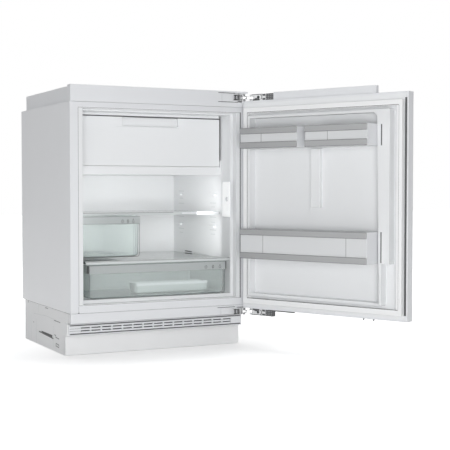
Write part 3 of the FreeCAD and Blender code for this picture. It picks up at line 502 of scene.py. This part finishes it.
# %% Cabinet
def dressed(node, slot, edge, segments=2, soft_place=None, soft=0.0):
    """A copy of a node with its flat faces joined up and its edges rounded.

    An upright edge at the soft place, on the shut door, is rounded by the soft radius first."""
    source = frame["nodes"][node].data
    bm = bmesh.new()
    corners = [bm.verts.new(vertex.co) for vertex in source.vertices]
    for polygon in source.polygons:
        bm.faces.new([corners[index] for index in polygon.vertices])
    bmesh.ops.remove_doubles(bm, verts=bm.verts, dist=0.01 * MM)
    bmesh.ops.dissolve_limit(bm, angle_limit=math.radians(1), verts=bm.verts, edges=bm.edges)
    if soft_place:
        back = turn_of(body_of(node)).inverted()
        spot = Vector(soft_place) * MM
        upright = [line for line in bm.edges
                   if all(((back @ vertex.co).xy - spot).length < MM for vertex in line.verts)]
        bmesh.ops.bevel(bm, geom=upright, offset=soft * MM, segments=6, profile=0.5, affect="EDGES")
    many_sided = [face for face in bm.faces if len(face.verts) > 4]
    bmesh.ops.connect_verts_concave(bm, faces=many_sided)
    add_piece(bm, f"{node}_finish", slot, body_of(node), [node], edge, segments)


dressed("outer_shell", "white_steel", 0.5)
dressed("back_panel", "galvanised", 0.4)
dressed("bottom_panel", "galvanised", 0.3)
dressed("top_cover", "white_plastic", 1.2)
dressed("inner_liner", "liner", 1.6, 3)
dressed("insulation_foam", "foam", 0.5)

# %% [markdown]
# A dark joint runs round the mouth, where the liner meets the steel. It could be cut into both meshes,
# but under a millimetre wide it would cost many faces for one line. So it is a stroke: a thin raised line
# along points on a face. Most fine lines of the fridge are made this way.

# %% Liner seam
X, Y, Z = Vector((1, 0, 0)), Vector((0, 1, 0)), Vector((0, 0, 1))
# The axes of a face point across it, up and out of it.
FRONT_FACE = (X, Z, -Y)


def loft(bm, rings, looped=False):
    """Joins rings of the same number of points with faces; the ends are capped or joined to a loop."""
    rows = [[bm.verts.new(point) for point in ring] for ring in rings]
    pairs = list(zip(rows, rows[1:]))
    if looped:
        pairs.append((rows[-1], rows[0]))
    else:
        bm.faces.new(rows[0][::-1])
        bm.faces.new(rows[-1])
    for low, high in pairs:
        for index in range(len(low)):
            following = (index + 1) % len(low)
            bm.faces.new((low[index], low[following], high[following], high[index]))


def stroke(bm, points, width, raised, place, axes):
    """A raised line along points on the face that goes through the place, each joint square."""
    across, up, out = axes
    for (u0, w0), (u1, w1) in zip(points, points[1:]):
        run = Vector((u1 - u0, w1 - w0)).normalized() * (width / 2)
        side = Vector((-run.y, run.x))
        ring = [(u0 - run.x + side.x, w0 - run.y + side.y), (u1 + run.x + side.x, w1 + run.y + side.y),
                (u1 + run.x - side.x, w1 + run.y - side.y), (u0 - run.x - side.x, w0 - run.y - side.y)]
        loft(bm, [[place + across * u + up * w + out * height for u, w in ring]
                  for height in (-raised, raised)])


def face_at(y):
    """A place on the face that is square to Y at this depth."""
    return Vector((0, y, 0))


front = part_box("outer_shell")[0].y
left, right, foot, head = liner_low.x, liner_high.x, liner_low.z, liner_high.z
lip_x = 274.2 * MM
seam = bmesh.new()
border = [(left, foot), (right, foot), (right, head), (left, head), (left, foot)]
stroke(seam, border, 0.8 * MM, 0.06 * MM, face_at(front), FRONT_FACE)
stroke(seam, [(lip_x, foot), (lip_x, head)], 2.4 * MM, 0.06 * MM, face_at(front), FRONT_FACE)
add_piece(seam, "liner_seam", "dark_plastic", "cabinet")
print("mouth", round((right - left) / MM), "by", round((head - foot) / MM), "mm")

# %% [markdown]
# The base is moulded plastic, with an apron, an air grille and a plinth panel at the front. Its tray and
# plinth are paler than the white plastic: partly their own tone, partly painted light that lifts the shade
# near the floor.
# Where the plinth panel stops short of the side walls, strips close its ends. They are plain blocks.


# %% Base
def block(bm, x, y, z):
    """Adds a box between its faces, for pieces that are built from several."""
    outline = ((x[0], y[0]), (x[1], y[0]), (x[1], y[1]), (x[0], y[1]))
    loft(bm, [[(u, v, w) for u, v in outline] for w in z])


def grown(span, amount):
    return (span[0] - amount, span[1] + amount)


BASE_HALF = 297 * MM
dressed("base_tray", "base_plastic", 1.0)
dressed("bottom_apron", "white_plastic", 1.5, 3)
dressed("vent_grille", "white_plastic", 0.5)
dressed("plinth_panel", "base_plastic", 1.2)
plinth_low, plinth_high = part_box("plinth_panel")
ends = bmesh.new()
for side in (-1, 1):
    block(ends, sorted((side * BASE_HALF, side * (plinth_high.x - 2 * MM))),
          (plinth_low.y + 0.4 * MM, plinth_high.y + 3 * MM), grown((plinth_low.z, plinth_high.z), -1.2 * MM))
add_piece(ends, "plinth_ends", "base_plastic", "cabinet", edge=0.6)
for place in ("front_left", "front_right", "back_left", "back_right"):
    dressed(f"{place}_foot", "foot_plastic", 1.0)

# %% [markdown]
# Behind the grille sit thin dark slats on a dark sheet: painted shade, so no light shows through the slots.
# It is built of blocks: real depth looks right from every side, where a dark colour on the grille would look
# printed.


# %% Grille filter
def about(centre, half):
    return (centre - half, centre + half)


SLATS = 11
SLAT_STEP = 2.9 * MM
grille_low, grille_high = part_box("vent_grille")
slot_x = grown((grille_low.x, grille_high.x), -4 * MM)
# Painted shade: a dark sheet and thin dark slats behind the grille's slots.
slot_shade = bmesh.new()
block(slot_shade, (grille_low.x + 3 * MM, grille_high.x - 3 * MM),
      (grille_high.y + 2 * MM, grille_high.y + 3 * MM), (grille_low.z + 2 * MM, grille_high.z - 2 * MM))
for index in range(SLATS):
    level = grille_low.z + 3 * MM + SLAT_STEP * index
    block(slot_shade, slot_x, (grille_high.y + 0.6 * MM, grille_high.y + 2 * MM), about(level, 0.6 * MM))
add_piece(slot_shade, "grille_slot_shade", "dark_plastic", "cabinet")
print("filter slats", SLATS)

# %% [markdown]
# Two grooves run along the grille above and below its slots, which run out in fine lines at the left.
# The dark blocks in the grooves and the dark fine lines are painted shade.
# A fine joint also runs along the apron, with a notch near its left end. Blocks and strokes do for these.


# %% Grille grooves
def lines_on(bm, lines, raised, place, axes):
    """Strokes whose measures are all in millimetres; each line has its points and its width."""
    for points, width in lines:
        stroke(bm, [(u * MM, w * MM) for u, w in points], width * MM, raised * MM, place, axes)


def level_line(bm, x, level, width, raised, y, axes=FRONT_FACE):
    """A level stroke on a face that is square to Y; width and raise are in millimetres."""
    stroke(bm, [(x[0], level), (x[1], level)], width * MM, raised * MM, face_at(y), axes)


GROOVES = {94.6 * MM: 1.3 * MM, 68.4 * MM: 1.6 * MM}
SLOT_LEVELS = (84.6 * MM, 77.7 * MM)
# Painted shade: dark blocks in the two grooves, and dark lines where the slots run out.
grooves = bmesh.new()
for level, half in GROOVES.items():
    block(grooves, slot_x, (grille_low.y + 0.4 * MM, grille_low.y + 1.9 * MM), about(level, half))
for level in SLOT_LEVELS:
    level_line(grooves, (grille_low.x + 3 * MM, grille_low.x + 36 * MM), level, 0.9, 0.1, grille_low.y)
add_piece(grooves, "grille_groove_shade", "dark_plastic", "cabinet")
apron_lines = [([(-296, 134.2), (296, 134.2)], 0.5), ([(-273.2, 155), (-273.2, 135)], 0.7),
               ([(-274.4, 135.2), (-272, 135.2)], 2.4)]
apron_joint = bmesh.new()
lines_on(apron_joint, apron_lines, 0.06, face_at(front), FRONT_FACE)
add_piece(apron_joint, "apron_joint", "dark_plastic", "cabinet")
print("grooves", len(GROOVES), "slot lines", len(SLOT_LEVELS))

# %% [markdown]
# Both side walls of the base carry small clips, steps and slots that other parts snap into.
# Each is a raised line, given by its depth behind the front and its height. Modelling every clip would
# take many blocks for detail that is a pixel wide, so lists of lines are enough. A dark plate behind the
# wall closes the slot.

# %% Base sides
STEP_LINES = [
    [(378, 96), (248, 102), (168, 99.6)], [(330, 106), (330, 133)], [(353, 2), (353, 82)],
    [(412, 3), (412, 91)], [(440, 2), (440, 32)], [(175, 11), (175, 79)], [(26, 105), (26, 133)],
    [(60, 101), (35, 99)], [(470, 8), (470, 118)]]
CLIP_LINES = [
    [(165, 97.4), (106, 96.4)], [(443, 127), (443, 132)], [(254, 127.6), (230, 127.6)],
    [(384, 67), (380, 67)], [(161, 52), (150, 51), (150, 46), (118, 44)],
    [(147, 27), (119, 25), (119, 17), (147, 19), (147, 27)]]
steps = [(line, 1.1) for line in STEP_LINES]
clips = [([(478, 132.5), (4, 132.5)], 0.8)]
clips += [(line, 2.2) for line in CLIP_LINES]
clips += [([(322, 43), (176, 38.5)], 4.0)]
for name, side in (("left", -1), ("right", 1)):
    wall = Vector((side * BASE_HALF, front, 0))
    axes = (Y, Z, X * side)
    step_marks, clip_marks = bmesh.new(), bmesh.new()
    lines_on(step_marks, steps, 0.25, wall, axes)
    add_piece(step_marks, f"base_{name}_steps", "handle_plastic", "cabinet")
    lines_on(clip_marks, clips, 0.25, wall, axes)
    plate_x = sorted((side * (BASE_HALF - 4 * MM), side * (BASE_HALF - 3 * MM)))
    block(clip_marks, plate_x, (front + 150 * MM, front + 350 * MM), (20 * MM, 60 * MM))
    add_piece(clip_marks, f"base_{name}_clips", "dark_plastic", "cabinet")
print("lines on each side", len(steps) + len(clips))

# %% [markdown]
# The cooling machine hides in the base: a black compressor on rubber grommets, a coil, a fan and its box.
# It is hardly seen, so copies with rounded edges are enough. The coil is round already.

# %% Cooling machine
dressed("compressor", "black_enamel", 1.5)
dressed("compressor_grommets", "grommet_rubber", 1.5, 3)
dressed("compressor_relay", "dark_plastic", 2.0, 3)
dressed("drip_tray", "dark_plastic", 1.0)
dressed("condenser_coil", "black_enamel", 0)
dressed("filter_drier", "copper", 3.0, 4)
dressed("fan_housing", "dark_plastic", 1.0)
dressed("fan_rotor", "dark_plastic", 0.6)
dressed("control_box", "base_plastic", 2.5, 3)
dressed("power_inlet", "dark_plastic", 0.8)

# %% [markdown]
# The freezer compartment has an insulated box and a drop-down flap. The flap is a hollow moulding
# with generous edges, so its rounding is larger than that of the thin mouldings.

# %% Freezer compartment
dressed("freezer_box", "liner", 2.5, 3)
dressed("freezer_flap", "liner", 1.6, 3)
dressed("flap_seal", "seal", 1.5, 2)
dressed("flap_pins", "white_plastic", 0.4)
flap_low, flap_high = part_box("freezer_flap")
print("flap", [round(c / MM) for c in flap_high - flap_low], "mm")

# %% [markdown]
# A header with ribs closes the space over the flap, and a thin sill the space under it. Dark blocks in the
# gap along its top and its right edge are painted shadow. Plain blocks do for all three. Two fine lines along
# the grip's recess are painted shade.

# %% Flap surround
RIBS = 9
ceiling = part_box("freezer_box")[1].z
flap_x = (flap_low.x, flap_high.x)
behind = flap_high.y - 4 * MM
over = flap_high.z + 3.6 * MM
header = bmesh.new()
block(header, flap_x, (flap_low.y + 1.5 * MM, behind), (over, ceiling + 1.5 * MM))
for index in range(RIBS):
    rib = flap_low.x + (30 + 53 * index) * MM
    block(header, about(rib, 1.5 * MM), (behind, flap_high.y), (over, ceiling + 1.5 * MM))
add_piece(header, "flap_header", "liner", "cabinet", edge=0.8)
sill = bmesh.new()
sill_z = flap_low.z - 3 * MM
block(sill, flap_x, (flap_low.y + 0.1 * MM, flap_low.y + 0.6 * MM), (sill_z, flap_low.z - 0.8 * MM))
block(sill, flap_x, (flap_low.y + 0.6 * MM, flap_low.y + 3 * MM), (sill_z, flap_low.z - 2.7 * MM))
add_piece(sill, "flap_sill", "liner", "cabinet")
# Painted shadow: dark blocks in the gap over the flap and beside its right edge.
shadow_gap = bmesh.new()
gap_end = flap_high.x + 3.2 * MM
block(shadow_gap, (flap_high.x + 0.7 * MM, gap_end), (flap_low.y + 3 * MM, behind),
      (flap_low.z + 16 * MM, over))
block(shadow_gap, (flap_low.x, gap_end), (flap_low.y + 2 * MM, behind), (flap_high.z + 0.7 * MM, over))
add_piece(shadow_gap, "flap_gap_shadow", "dark_plastic", "cabinet")
# Painted shade: fine lines along the left and lower edges of the grip's recess.
grip_shade_lines = [([(-96.5, 706), (-96.5, 731)], 0.7), ([(-116, 702.6), (100, 702.6)], 0.7)]
grip = bmesh.new()
lines_on(grip, grip_shade_lines, 0.15, face_at(flap_low.y), FRONT_FACE)
add_piece(grip, "flap_grip_shade_lines", "handle_plastic", "freezer_flap")
print("header ribs", RIBS)

# %% [markdown]
# The light unit is a white frame with a frosted cover, and a small dial in it. A lamp could stand behind
# the cover, but a cover that glows a little looks the same and renders with less noise.

# %% Light unit
dressed("light_housing", "white_plastic", 1.0)
dressed("light_diffuser", "lamp_cover", 0.8, 3)
dressed("temperature_dial", "dial_plastic", 0.7, 3)

# %% [markdown]
# Shelf and crisper cover are panes of safety glass with a grey trim along the front edge. The pane shows
# as a darker line on top of the trim, and a white stroke on the right half of the shelf's trim is a painted
# highlight. Cuts could show both, but they are as thin as paint, so they are strokes.

# %% Shelf and covers
dressed("glass_shelf", "glass", 0.6)
dressed("shelf_trim", "tray_plastic", 0.8)
dressed("crisper_cover", "glass", 0.6)
dressed("crisper_cover_trim", "tray_plastic", 0.8)
dressed("box_runners", "white_plastic", 0.4)
for node, body, reach in (("shelf_trim", "glass_shelf", 75), ("crisper_cover_trim", "cabinet", 243)):
    low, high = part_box(node)
    pane_edge = bmesh.new()
    level_line(pane_edge, (low.x + 2 * MM, reach * MM), high.z - 1.9 * MM, 2.8, 0.12, low.y)
    add_piece(pane_edge, f"{node}_edge", "rail_metal", body)
low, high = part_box("shelf_trim")
# Painted highlight: a white stroke along the right half of the shelf's trim.
trim_highlight = bmesh.new()
level_line(trim_highlight, (110 * MM, high.x - 6 * MM), low.z + 4.8 * MM, 5, 0.15, low.y)
add_piece(trim_highlight, "shelf_trim_highlight", "white_plastic", "glass_shelf")
print("shelf trim", round((high.x - low.x) / MM), "mm wide")

# %% [markdown]
# The liner's right wall has pressed notches where a shelf can hang, and a rest for the crisper's cover.
# A notch shows as a shaded line above and a shorter one below, so both are grey strokes of painted shade,
# given by depth and height.

# %% Liner marks
LEFT_FACE = (Y, Z, -X)
right_wall = Vector((250 * MM, front, 0))
NOTCHES = {
    (380, 422): ((499, 474), (456, 424), (410, 388), (367, 353)),
    (127, 172): ((460, 447), (413, 396), (370, 356)),
}
# Painted shade: a grey line above and a shorter one below each notch.
notch_shade_lines = []
for (near, far), levels in NOTCHES.items():
    for top, bottom in levels:
        notch_shade_lines += [([(near, top), (far, top)], 1.8), ([(near + 8, bottom), (far - 8, bottom)], 1.8)]
notch_shade_lines += [([(314, 287.6), (127, 281.5)], 1.3)]
notches, rest = bmesh.new(), bmesh.new()
lines_on(notches, notch_shade_lines, 0.3, right_wall, LEFT_FACE)
add_piece(notches, "liner_notch_shade", "tray_plastic", "cabinet")
lines_on(rest, [([(370, 288.6), (318, 287.8)], 4)], 0.4, right_wall, LEFT_FACE)
add_piece(rest, "cover_rest", "dark_plastic", "cabinet")
print("notch lines", len(notch_shade_lines))

# %% [markdown]
# The storage box and the crisper are clear injection mouldings: thin walls that lean out for the mould,
# round corners and a rounded foot. A bevelled box could have round edges, but its walls would stand
# upright. So they are lofted ring by ring, outside first and then inside.


# %% Clear boxes
def rounded_ring(x, y, z, corner, steps=5):
    """The points of a level rectangle with round corners."""
    points = []
    centres = ((x[1] - corner, y[1] - corner), (x[0] + corner, y[1] - corner),
               (x[0] + corner, y[0] + corner), (x[1] - corner, y[0] + corner))
    for quarter, (cx, cy) in enumerate(centres):
        for step in range(steps + 1):
            angle = math.pi / 2 * (quarter + step / steps)
            points.append(Vector((cx + corner * math.cos(angle), cy + corner * math.sin(angle), z)))
    return points


def moulded_tub(node, slot, wall, corner, foot, draft, foot_steps=4):
    """Replaces a node by an open tub with round corners and foot; its walls lean out by the draft."""
    low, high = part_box(node)

    def level_ring(inset, z, radius):
        return rounded_ring(grown((low.x, high.x), -inset), grown((low.y, high.y), -inset), z, radius)

    def foot_rings(inset):
        made = []
        for step in range(foot_steps + 1):
            angle = math.pi / 2 * step / foot_steps
            lean = inset + draft + (foot - inset) * (1 - math.sin(angle))
            z = low.z + inset + (foot - inset) * (1 - math.cos(angle))
            made.append(level_ring(lean, z, max(corner - inset, MM)))
        return made

    lip = [level_ring(0, high.z, corner), level_ring(wall, high.z, corner)]
    tub = bmesh.new()
    loft(tub, foot_rings(0) + lip + foot_rings(wall)[::-1])
    add_piece(tub, f"{node}_finish", slot, body_of(node), [node])


for node in ("crisper_drawer", "storage_box"):
    moulded_tub(node, "clear_plastic", 2.2 * MM, 10 * MM, 13 * MM, 2.5 * MM)
moulded_tub("crisper_tray", "tray_plastic", 2.2 * MM, 12 * MM, 8 * MM, 1.5 * MM)
low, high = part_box("crisper_tray")
rim = bmesh.new()
level_line(rim, grown((low.x, high.x), -9 * MM), high.z - 4.5 * MM, 8, 0.2, low.y)
add_piece(rim, "crisper_tray_rim", "white_plastic", "crisper")
dressed("crisper_handle", "handle_plastic", 1.4, 3)
dressed("storage_box_handle", "handle_plastic", 1.4, 3)
dressed("crisper_clips", "dark_plastic", 1.2, 2)
print("crisper tray", [round(c / MM) for c in high - low], "mm")

# %% [markdown]
# Clear plastic gathers dark along its edges, where light turns round inside the wall. Thin lofted walls
# show little of that at this size, so fine dark lines along the front edges stand for it. The storage
# box also shows its inner edges and the rims of its handle.


# %% Box edges
def arc(centre, radius, first, last, steps):
    """Points along part of a circle; the angles are in turns."""
    turns = [first + (last - first) * step / steps for step in range(steps + 1)]
    return [(centre[0] + radius * math.cos(math.tau * turn), centre[1] + radius * math.sin(math.tau * turn))
            for turn in turns]


def front_edge(low, high, with_left, turn=9 * MM):
    """The line along a box's foot and up its right side, with or without its left side."""
    face_x, face_z = grown((low.x, high.x), -1.5 * MM), (low.z + MM, high.z - 24 * MM)
    line = [(face_x[0], face_z[1])] if with_left else []
    line += arc((face_x[0] + turn, face_z[0] + turn), turn, 0.5, 0.75, 5)
    line += arc((face_x[1] - turn, face_z[0] + turn), turn, 0.75, 1, 5)
    return line + [(face_x[1], face_z[1])]


low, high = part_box("crisper_drawer")
crisper_edges = bmesh.new()
stroke(crisper_edges, front_edge(low, high, True), 0.9 * MM, 0.12 * MM, face_at(low.y), FRONT_FACE)
add_piece(crisper_edges, "crisper_drawer_edges", "dark_plastic", "crisper")
low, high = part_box("storage_box")
line = front_edge(low, high, False)
right_x, right_z = line[-1]
box_edges = bmesh.new()
stroke(box_edges, line, 1.4 * MM, 0.12 * MM, face_at(low.y), FRONT_FACE)
for inner in (right_x - 14 * MM, right_x - 20 * MM):
    stroke(box_edges, [(inner, right_z), (inner, low.z + 7 * MM)], 0.5 * MM, 0.12 * MM,
           face_at(low.y), FRONT_FACE)
grip_low, grip_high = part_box("storage_box_handle")
for level in (grip_low.z + 1.5 * MM, grip_high.z - 1.5 * MM):
    level_line(box_edges, grown((grip_low.x, grip_high.x), -2 * MM), level, 0.7, 0.12, grip_low.y)
add_piece(box_edges, "storage_box_edges", "dark_plastic", "storage_box")
print("storage box", [round(c / MM) for c in high - low], "mm")

# %% [markdown]
# Three small signs on each handle say what the box is for: an apple, a leaf and a pear. A picture could carry
# them, but arcs and strokes stay sharp from near and need no file.


# %% Handle signs
def lens(width, height, steps=6):
    """A pointed oval, as a closed line."""
    right_side = [(width * math.sin(math.pi * step / steps), height * (1 - 2 * step / steps))
                  for step in range(steps + 1)]
    return right_side + [(-u, w) for u, w in right_side[::-1]]


SIGN_SCALE = 1.6
SIGNS = (
    [arc((0, -0.4), 2.5, 0.3, 1.2, 10), [(0, 1.6), (0.8, 3.2)]],
    [lens(1.9, 3.2), [(0, -3.8), (0, 1.6)]],
    [arc((0, -1), 2.1, 0.36, 1.14, 8), arc((0, 1.6), 1.2, 0, 0.5, 5), [(0, 2.8), (0, 3.9)]],
)
for node, body, level, places in (("crisper_handle", "crisper", 258.6, (161, 186, 211)),
                                  ("storage_box_handle", "storage_box", 407.2, (-104, -86, -68))):
    sign_lines = [([(place + SIGN_SCALE * u, level + SIGN_SCALE * w) for u, w in line], 0.9)
                  for sign, place in zip(SIGNS, places) for line in sign]
    signs = bmesh.new()
    lines_on(signs, sign_lines, 0.15, face_at(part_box(node)[0].y), FRONT_FACE)
    add_piece(signs, f"{node}_signs", "dark_plastic", body)
print("signs on each handle", len(SIGNS))

# %% [markdown]
# The door is a steel pan filled with foam, closed by a vacuum-formed inner panel, with a soft seal round it.
# All of them are copies. The panel's latch column has one edge that is much rounder than the rest, so
# that edge is rounded in the mesh before the bevel comes.

# %% Door
COLUMN_EDGE = (-213, -238.5)
dressed("door_outer_skin", "white_steel", 0.45)
dressed("door_foam", "foam", 0)
dressed("door_inner_panel", "liner", 2.4, 3, COLUMN_EDGE, 12)
dressed("door_gasket", "seal", 2.0, 3)
dressed("furniture_rail", "white_plastic", 1.0)
pan_low, pan_high = shut_box("door_outer_skin")
panel_low, panel_high = shut_box("door_inner_panel")
print("door", [round(c / MM) for c in pan_high - pan_low], "mm")

# %% [markdown]
# A moulded strip covers the joint between pan and panel, and a filler closes the groove on the latch side.
# The strip is a flat frame, lofted as a loop of four rings; four blocks would show joints at its corners.


# %% Door strips
def flat_frame(bm, x, z, y, inset):
    """A flat frame square to Y, between a rectangle and one that lies inside it by the inset."""
    def ring(amount, depth):
        x0, x1 = grown(x, -amount)
        z0, z1 = grown(z, -amount)
        return [Vector((u, depth, w)) for u, w in ((x0, z0), (x1, z0), (x1, z1), (x0, z1))]
    loft(bm, [ring(0, y[0]), ring(0, y[1]), ring(inset, y[1]), ring(inset, y[0])], looped=True)


pan_z = (pan_low.z, pan_high.z)
groove_x = pan_low.x + 4.7 * MM
strip_y = pan_high.y - 1.2 * MM
edge_strip = bmesh.new()
flat_frame(edge_strip, (panel_low.x, pan_high.x - MM), grown(pan_z, -MM),
           (strip_y, pan_high.y - 0.2 * MM), 6.5 * MM)
add_piece(edge_strip, "door_edge_strip", "white_plastic", "door", edge=0.3, turned=True)
infill = bmesh.new()
block(infill, (groove_x, panel_low.x - 0.1 * MM), (pan_high.y - 4 * MM, strip_y), grown(pan_z, -1.2 * MM))
add_piece(infill, "door_groove_infill", "white_plastic", "door", turned=True)
print("strip at", round(strip_y / MM, 1), "mm on the shut door")

# %% [markdown]
# Dark blocks along the latch side and in the panel's column are the painted shade in their grooves, and a
# dark bar and two small round dark marks under the door's bottom edge are painted shade too. Grooves could
# be cut, but at this size dark blocks look as deep.


# %% Door grooves
def post(bm, x, y, z, radius, steps=16):
    """Adds an upright round bar."""
    circle = arc((x, y), radius, 0, 1, steps)[:-1]
    loft(bm, [[(*spot, level) for spot in circle] for level in z])


COLUMN_GROOVES = ((633 * MM, 694 * MM), (295 * MM, 384 * MM))
SHADE_DOTS = (-150 * MM, -184 * MM)
under_door = 125.6 * MM
# Painted shade: dark blocks in the grooves, and a dark bar and two round marks under the bottom edge.
groove = bmesh.new()
block(groove, (groove_x, panel_low.x + 2.5 * MM), (strip_y, pan_high.y + 0.3 * MM), grown(pan_z, -18 * MM))
for span in COLUMN_GROOVES:
    block(groove, about(-228 * MM, 1.8 * MM), (panel_high.y - MM, panel_high.y + 0.2 * MM), span)
block(groove, (98 * MM, 171 * MM), (pan_high.y - 5 * MM, pan_high.y - 2 * MM), (122.4 * MM, under_door))
for place in SHADE_DOTS:
    post(groove, place, pan_high.y - 5 * MM, (121 * MM, under_door), 2.4 * MM)
add_piece(groove, "door_groove_shade", "dark_plastic", "door", turned=True)
print("grooves in the column", len(COLUMN_GROOVES), "pegs", len(SHADE_DOTS))

# %% [markdown]
# The seal is a soft tube with a thin lip. What shows of the lip is its shadow, so it is a fine dark line
# on each side, wider above and below.

# %% Seal lip
BACK_FACE = (X, Z, Y)
lip_lines = [([(-274, 748.5), (269, 748.5)], 1.5), ([(-274, 160.5), (269, 160.5)], 1.5),
             ([(-276, 160), (-276, 748)], 0.6), ([(269.5, 160), (269.5, 748)], 0.8)]
lip = bmesh.new()
lines_on(lip, lip_lines, 0.2, face_at(shut_box("door_gasket")[1].y), BACK_FACE)
add_piece(lip, "door_gasket_lip", "dark_plastic", "door", turned=True)
print("lip lines", len(lip_lines))

# %% [markdown]
# The racks are moulded trays with metal rails in front, and thin dividers in the lower one. Joints, rims
# and end plates are strokes and blocks that follow the rack's own box, so one loop serves all three.

# %% Door racks
RACK_JOINTS = {"upper_hinge_rack": (166,), "upper_latch_rack": (-76,), "lower_rack": (-141, 159)}
for rack in RACK_JOINTS:
    dressed(rack, "rack_plastic", 1.4, 3)
    dressed(f"{rack}_rails", "rail_metal", 0.8)
dressed("lower_rack_dividers", "rack_plastic", 0.5)
for rack, places in RACK_JOINTS.items():
    low, high = shut_box(rack)
    rail_low, rail_high = shut_box(f"{rack}_rails")
    joints_seen, rims, end = bmesh.new(), bmesh.new(), bmesh.new()
    for place in places:
        line = [(place * MM, low.z + 20 * MM), (place * MM, high.z - 20 * MM)]
        stroke(joints_seen, line, 2 * MM, 0.12 * MM, face_at(high.y), BACK_FACE)
    add_piece(joints_seen, f"{rack}_joints", "rail_metal", rack, turned=True)
    for level in (rail_low.z + MM, rail_low.z + 18 * MM, rail_high.z - 18 * MM, rail_high.z - MM):
        level_line(rims, grown((rail_low.x, rail_high.x), -MM), level, 0.8, 0.1, rail_high.y, BACK_FACE)
    add_piece(rims, f"{rack}_rail_rims", "dark_plastic", rack, turned=True)
    block(end, (low.x - 0.35 * MM, low.x - 0.05 * MM), grown((low.y, high.y), -MM),
          grown((low.z, high.z), -MM))
    add_piece(end, f"{rack}_end", "white_plastic", rack, turned=True)
    print(rack, [round(c / MM) for c in high - low], "mm")

# %% [markdown]
# The hinges are stamped from bright steel, with black plastic caps. They are copies, with the small radius
# that a press leaves.

# %% Hinges
for node in ("hinge_brackets", "hinge_links", "hinge_leaves"):
    dressed(node, "hinge_steel", 0.6, 2)
for node in ("hinge_cabinet_pins", "hinge_door_pins"):
    dressed(node, "hinge_steel", 0.3)
dressed("hinge_caps", "dark_plastic", 1.0)

# %% [markdown]
# Each hinge folds away on crossed arms between two flanges. Arms that move would each need a joint, so these
# are blocks and posts that ride on the cabinet. Both hinges have the same parts at their own level.

# %% Hinge arms
HINGE_LEVELS = (798.5 * MM, 113.5 * MM)
arm_front = front - 15 * MM
flanges, arms = bmesh.new(), bmesh.new()
for level in HINGE_LEVELS:
    for height in (-9.6 * MM, 9.6 * MM):
        block(flanges, (244 * MM, 271.5 * MM), (arm_front, front + 11 * MM), about(level + height, 0.6 * MM))
        block(arms, (244.5 * MM, 256 * MM), (front - 14 * MM, front - 11 * MM),
              about(level + height * 0.75, 1.6 * MM))
    block(flanges, (267 * MM, 269 * MM), (arm_front, front - 8 * MM), about(level, 9 * MM))
    block(arms, (247.5 * MM, 251.5 * MM), (front - 14 * MM, front - 10 * MM), about(level, 9 * MM))
    for height in (-7.4 * MM, 7.4 * MM):
        post(arms, 277.4 * MM, front - 18.7 * MM, about(level + height, 2.8 * MM), 2.4 * MM)
    post(arms, 261.5 * MM, front - 10 * MM, about(level, 9 * MM), 2.6 * MM)
for height, depth, reach in ((812.8, -6, 252), (784.4, -6, 262), (127.8, 0, 254)):
    level_line(arms, (193 * MM, reach * MM), height * MM, 2, 0.2, front + depth * MM)
add_piece(flanges, "hinge_flanges", "hinge_steel", "cabinet", edge=0.3)
add_piece(arms, "hinge_arms", "dark_plastic", "cabinet", edge=0.3)
print("hinge levels", [round(level / MM, 1) for level in HINGE_LEVELS], "mm")

# %% [markdown]
# White fillers close the cabinet's edge round each hinge, and dark lines on the links' sides show where their
# pivots turn. The lines ride on the link, so they are drawn on the shut door and turned with it.

# %% Hinge fillers and pivots
filler_x = (205 * MM, 262 * MM)
fillers = bmesh.new()
block(fillers, filler_x, (front - 5.6 * MM, front - 3 * MM), (785.2 * MM, 811.8 * MM))
block(fillers, filler_x, (front + 0.4 * MM, front + 3 * MM), (104 * MM, 127 * MM))
add_piece(fillers, "hinge_fillers", "white_plastic", "cabinet", edge=0.6)
pivot_lines = [([(-273, -2), (-273, 2)], 3.6), ([(-289, 3.4), (-266, 3.4)], 1.2),
               ([(-289, -3.4), (-266, -3.4)], 1.2)]
link_x = shut_box("hinge_links")[0].x
pivots = bmesh.new()
for level in HINGE_LEVELS:
    lines_on(pivots, pivot_lines, 0.3, Vector((link_x, 0, level)), LEFT_FACE)
add_piece(pivots, "hinge_pivots", "dark_plastic", "hinge_link", turned=True)
print("lines on each link", len(pivot_lines))

# %% [markdown]
# A black sleeve with rows of short ribs covers the screws of each door leaf, and dark eyes and slots mark
# the leaf beside it. The ribs are a lighter metal than the sleeve, as painted highlights where they catch
# the light. The pattern is mirrored below, so its lines take the way to the door's middle as a sign.

# %% Hinge sleeves
leaf_face = shut_box("hinge_leaves")[1].y
sleeves, ribs = bmesh.new(), bmesh.new()
for level, inward in zip(HINGE_LEVELS, (-1, 1)):
    block(sleeves, (190 * MM, 219 * MM), (leaf_face - 0.4 * MM, leaf_face + 0.5 * MM), about(level, 9.8 * MM))
    # Painted highlight: the ribs are drawn in a lighter metal than the black sleeve.
    for index in range(4):
        for height in (-5.5 * MM, 0, 5.5 * MM):
            block(ribs, about((194 + 7 * index) * MM, 1.6 * MM), (leaf_face, leaf_face + 1.6 * MM),
                  about(level + height, 1.5 * MM))
    leaf_lines = [
        (arc((249, 0), 2.2, 0, 1, 12), 4.6), (arc((241, 0), 6.6, 0.3, 0.7, 6), 1.8),
        ([(229, 6.4), (224, 6.4)], 6), ([(229, -6.4), (224, -6.4)], 6),
        ([(274, -9 * inward), (234, -9 * inward)], 2.2), ([(268, 7.4 * inward), (246, 7.4 * inward)], 5),
        ([(262, 4 * inward), (254, 4 * inward)], 3)]
    lines_on(sleeves, leaf_lines, 0.4, Vector((0, leaf_face, level)), BACK_FACE)
add_piece(sleeves, "hinge_sleeves", "dark_plastic", "door", turned=True)
add_piece(ribs, "hinge_rib_highlights", "rail_metal", "door", turned=True)
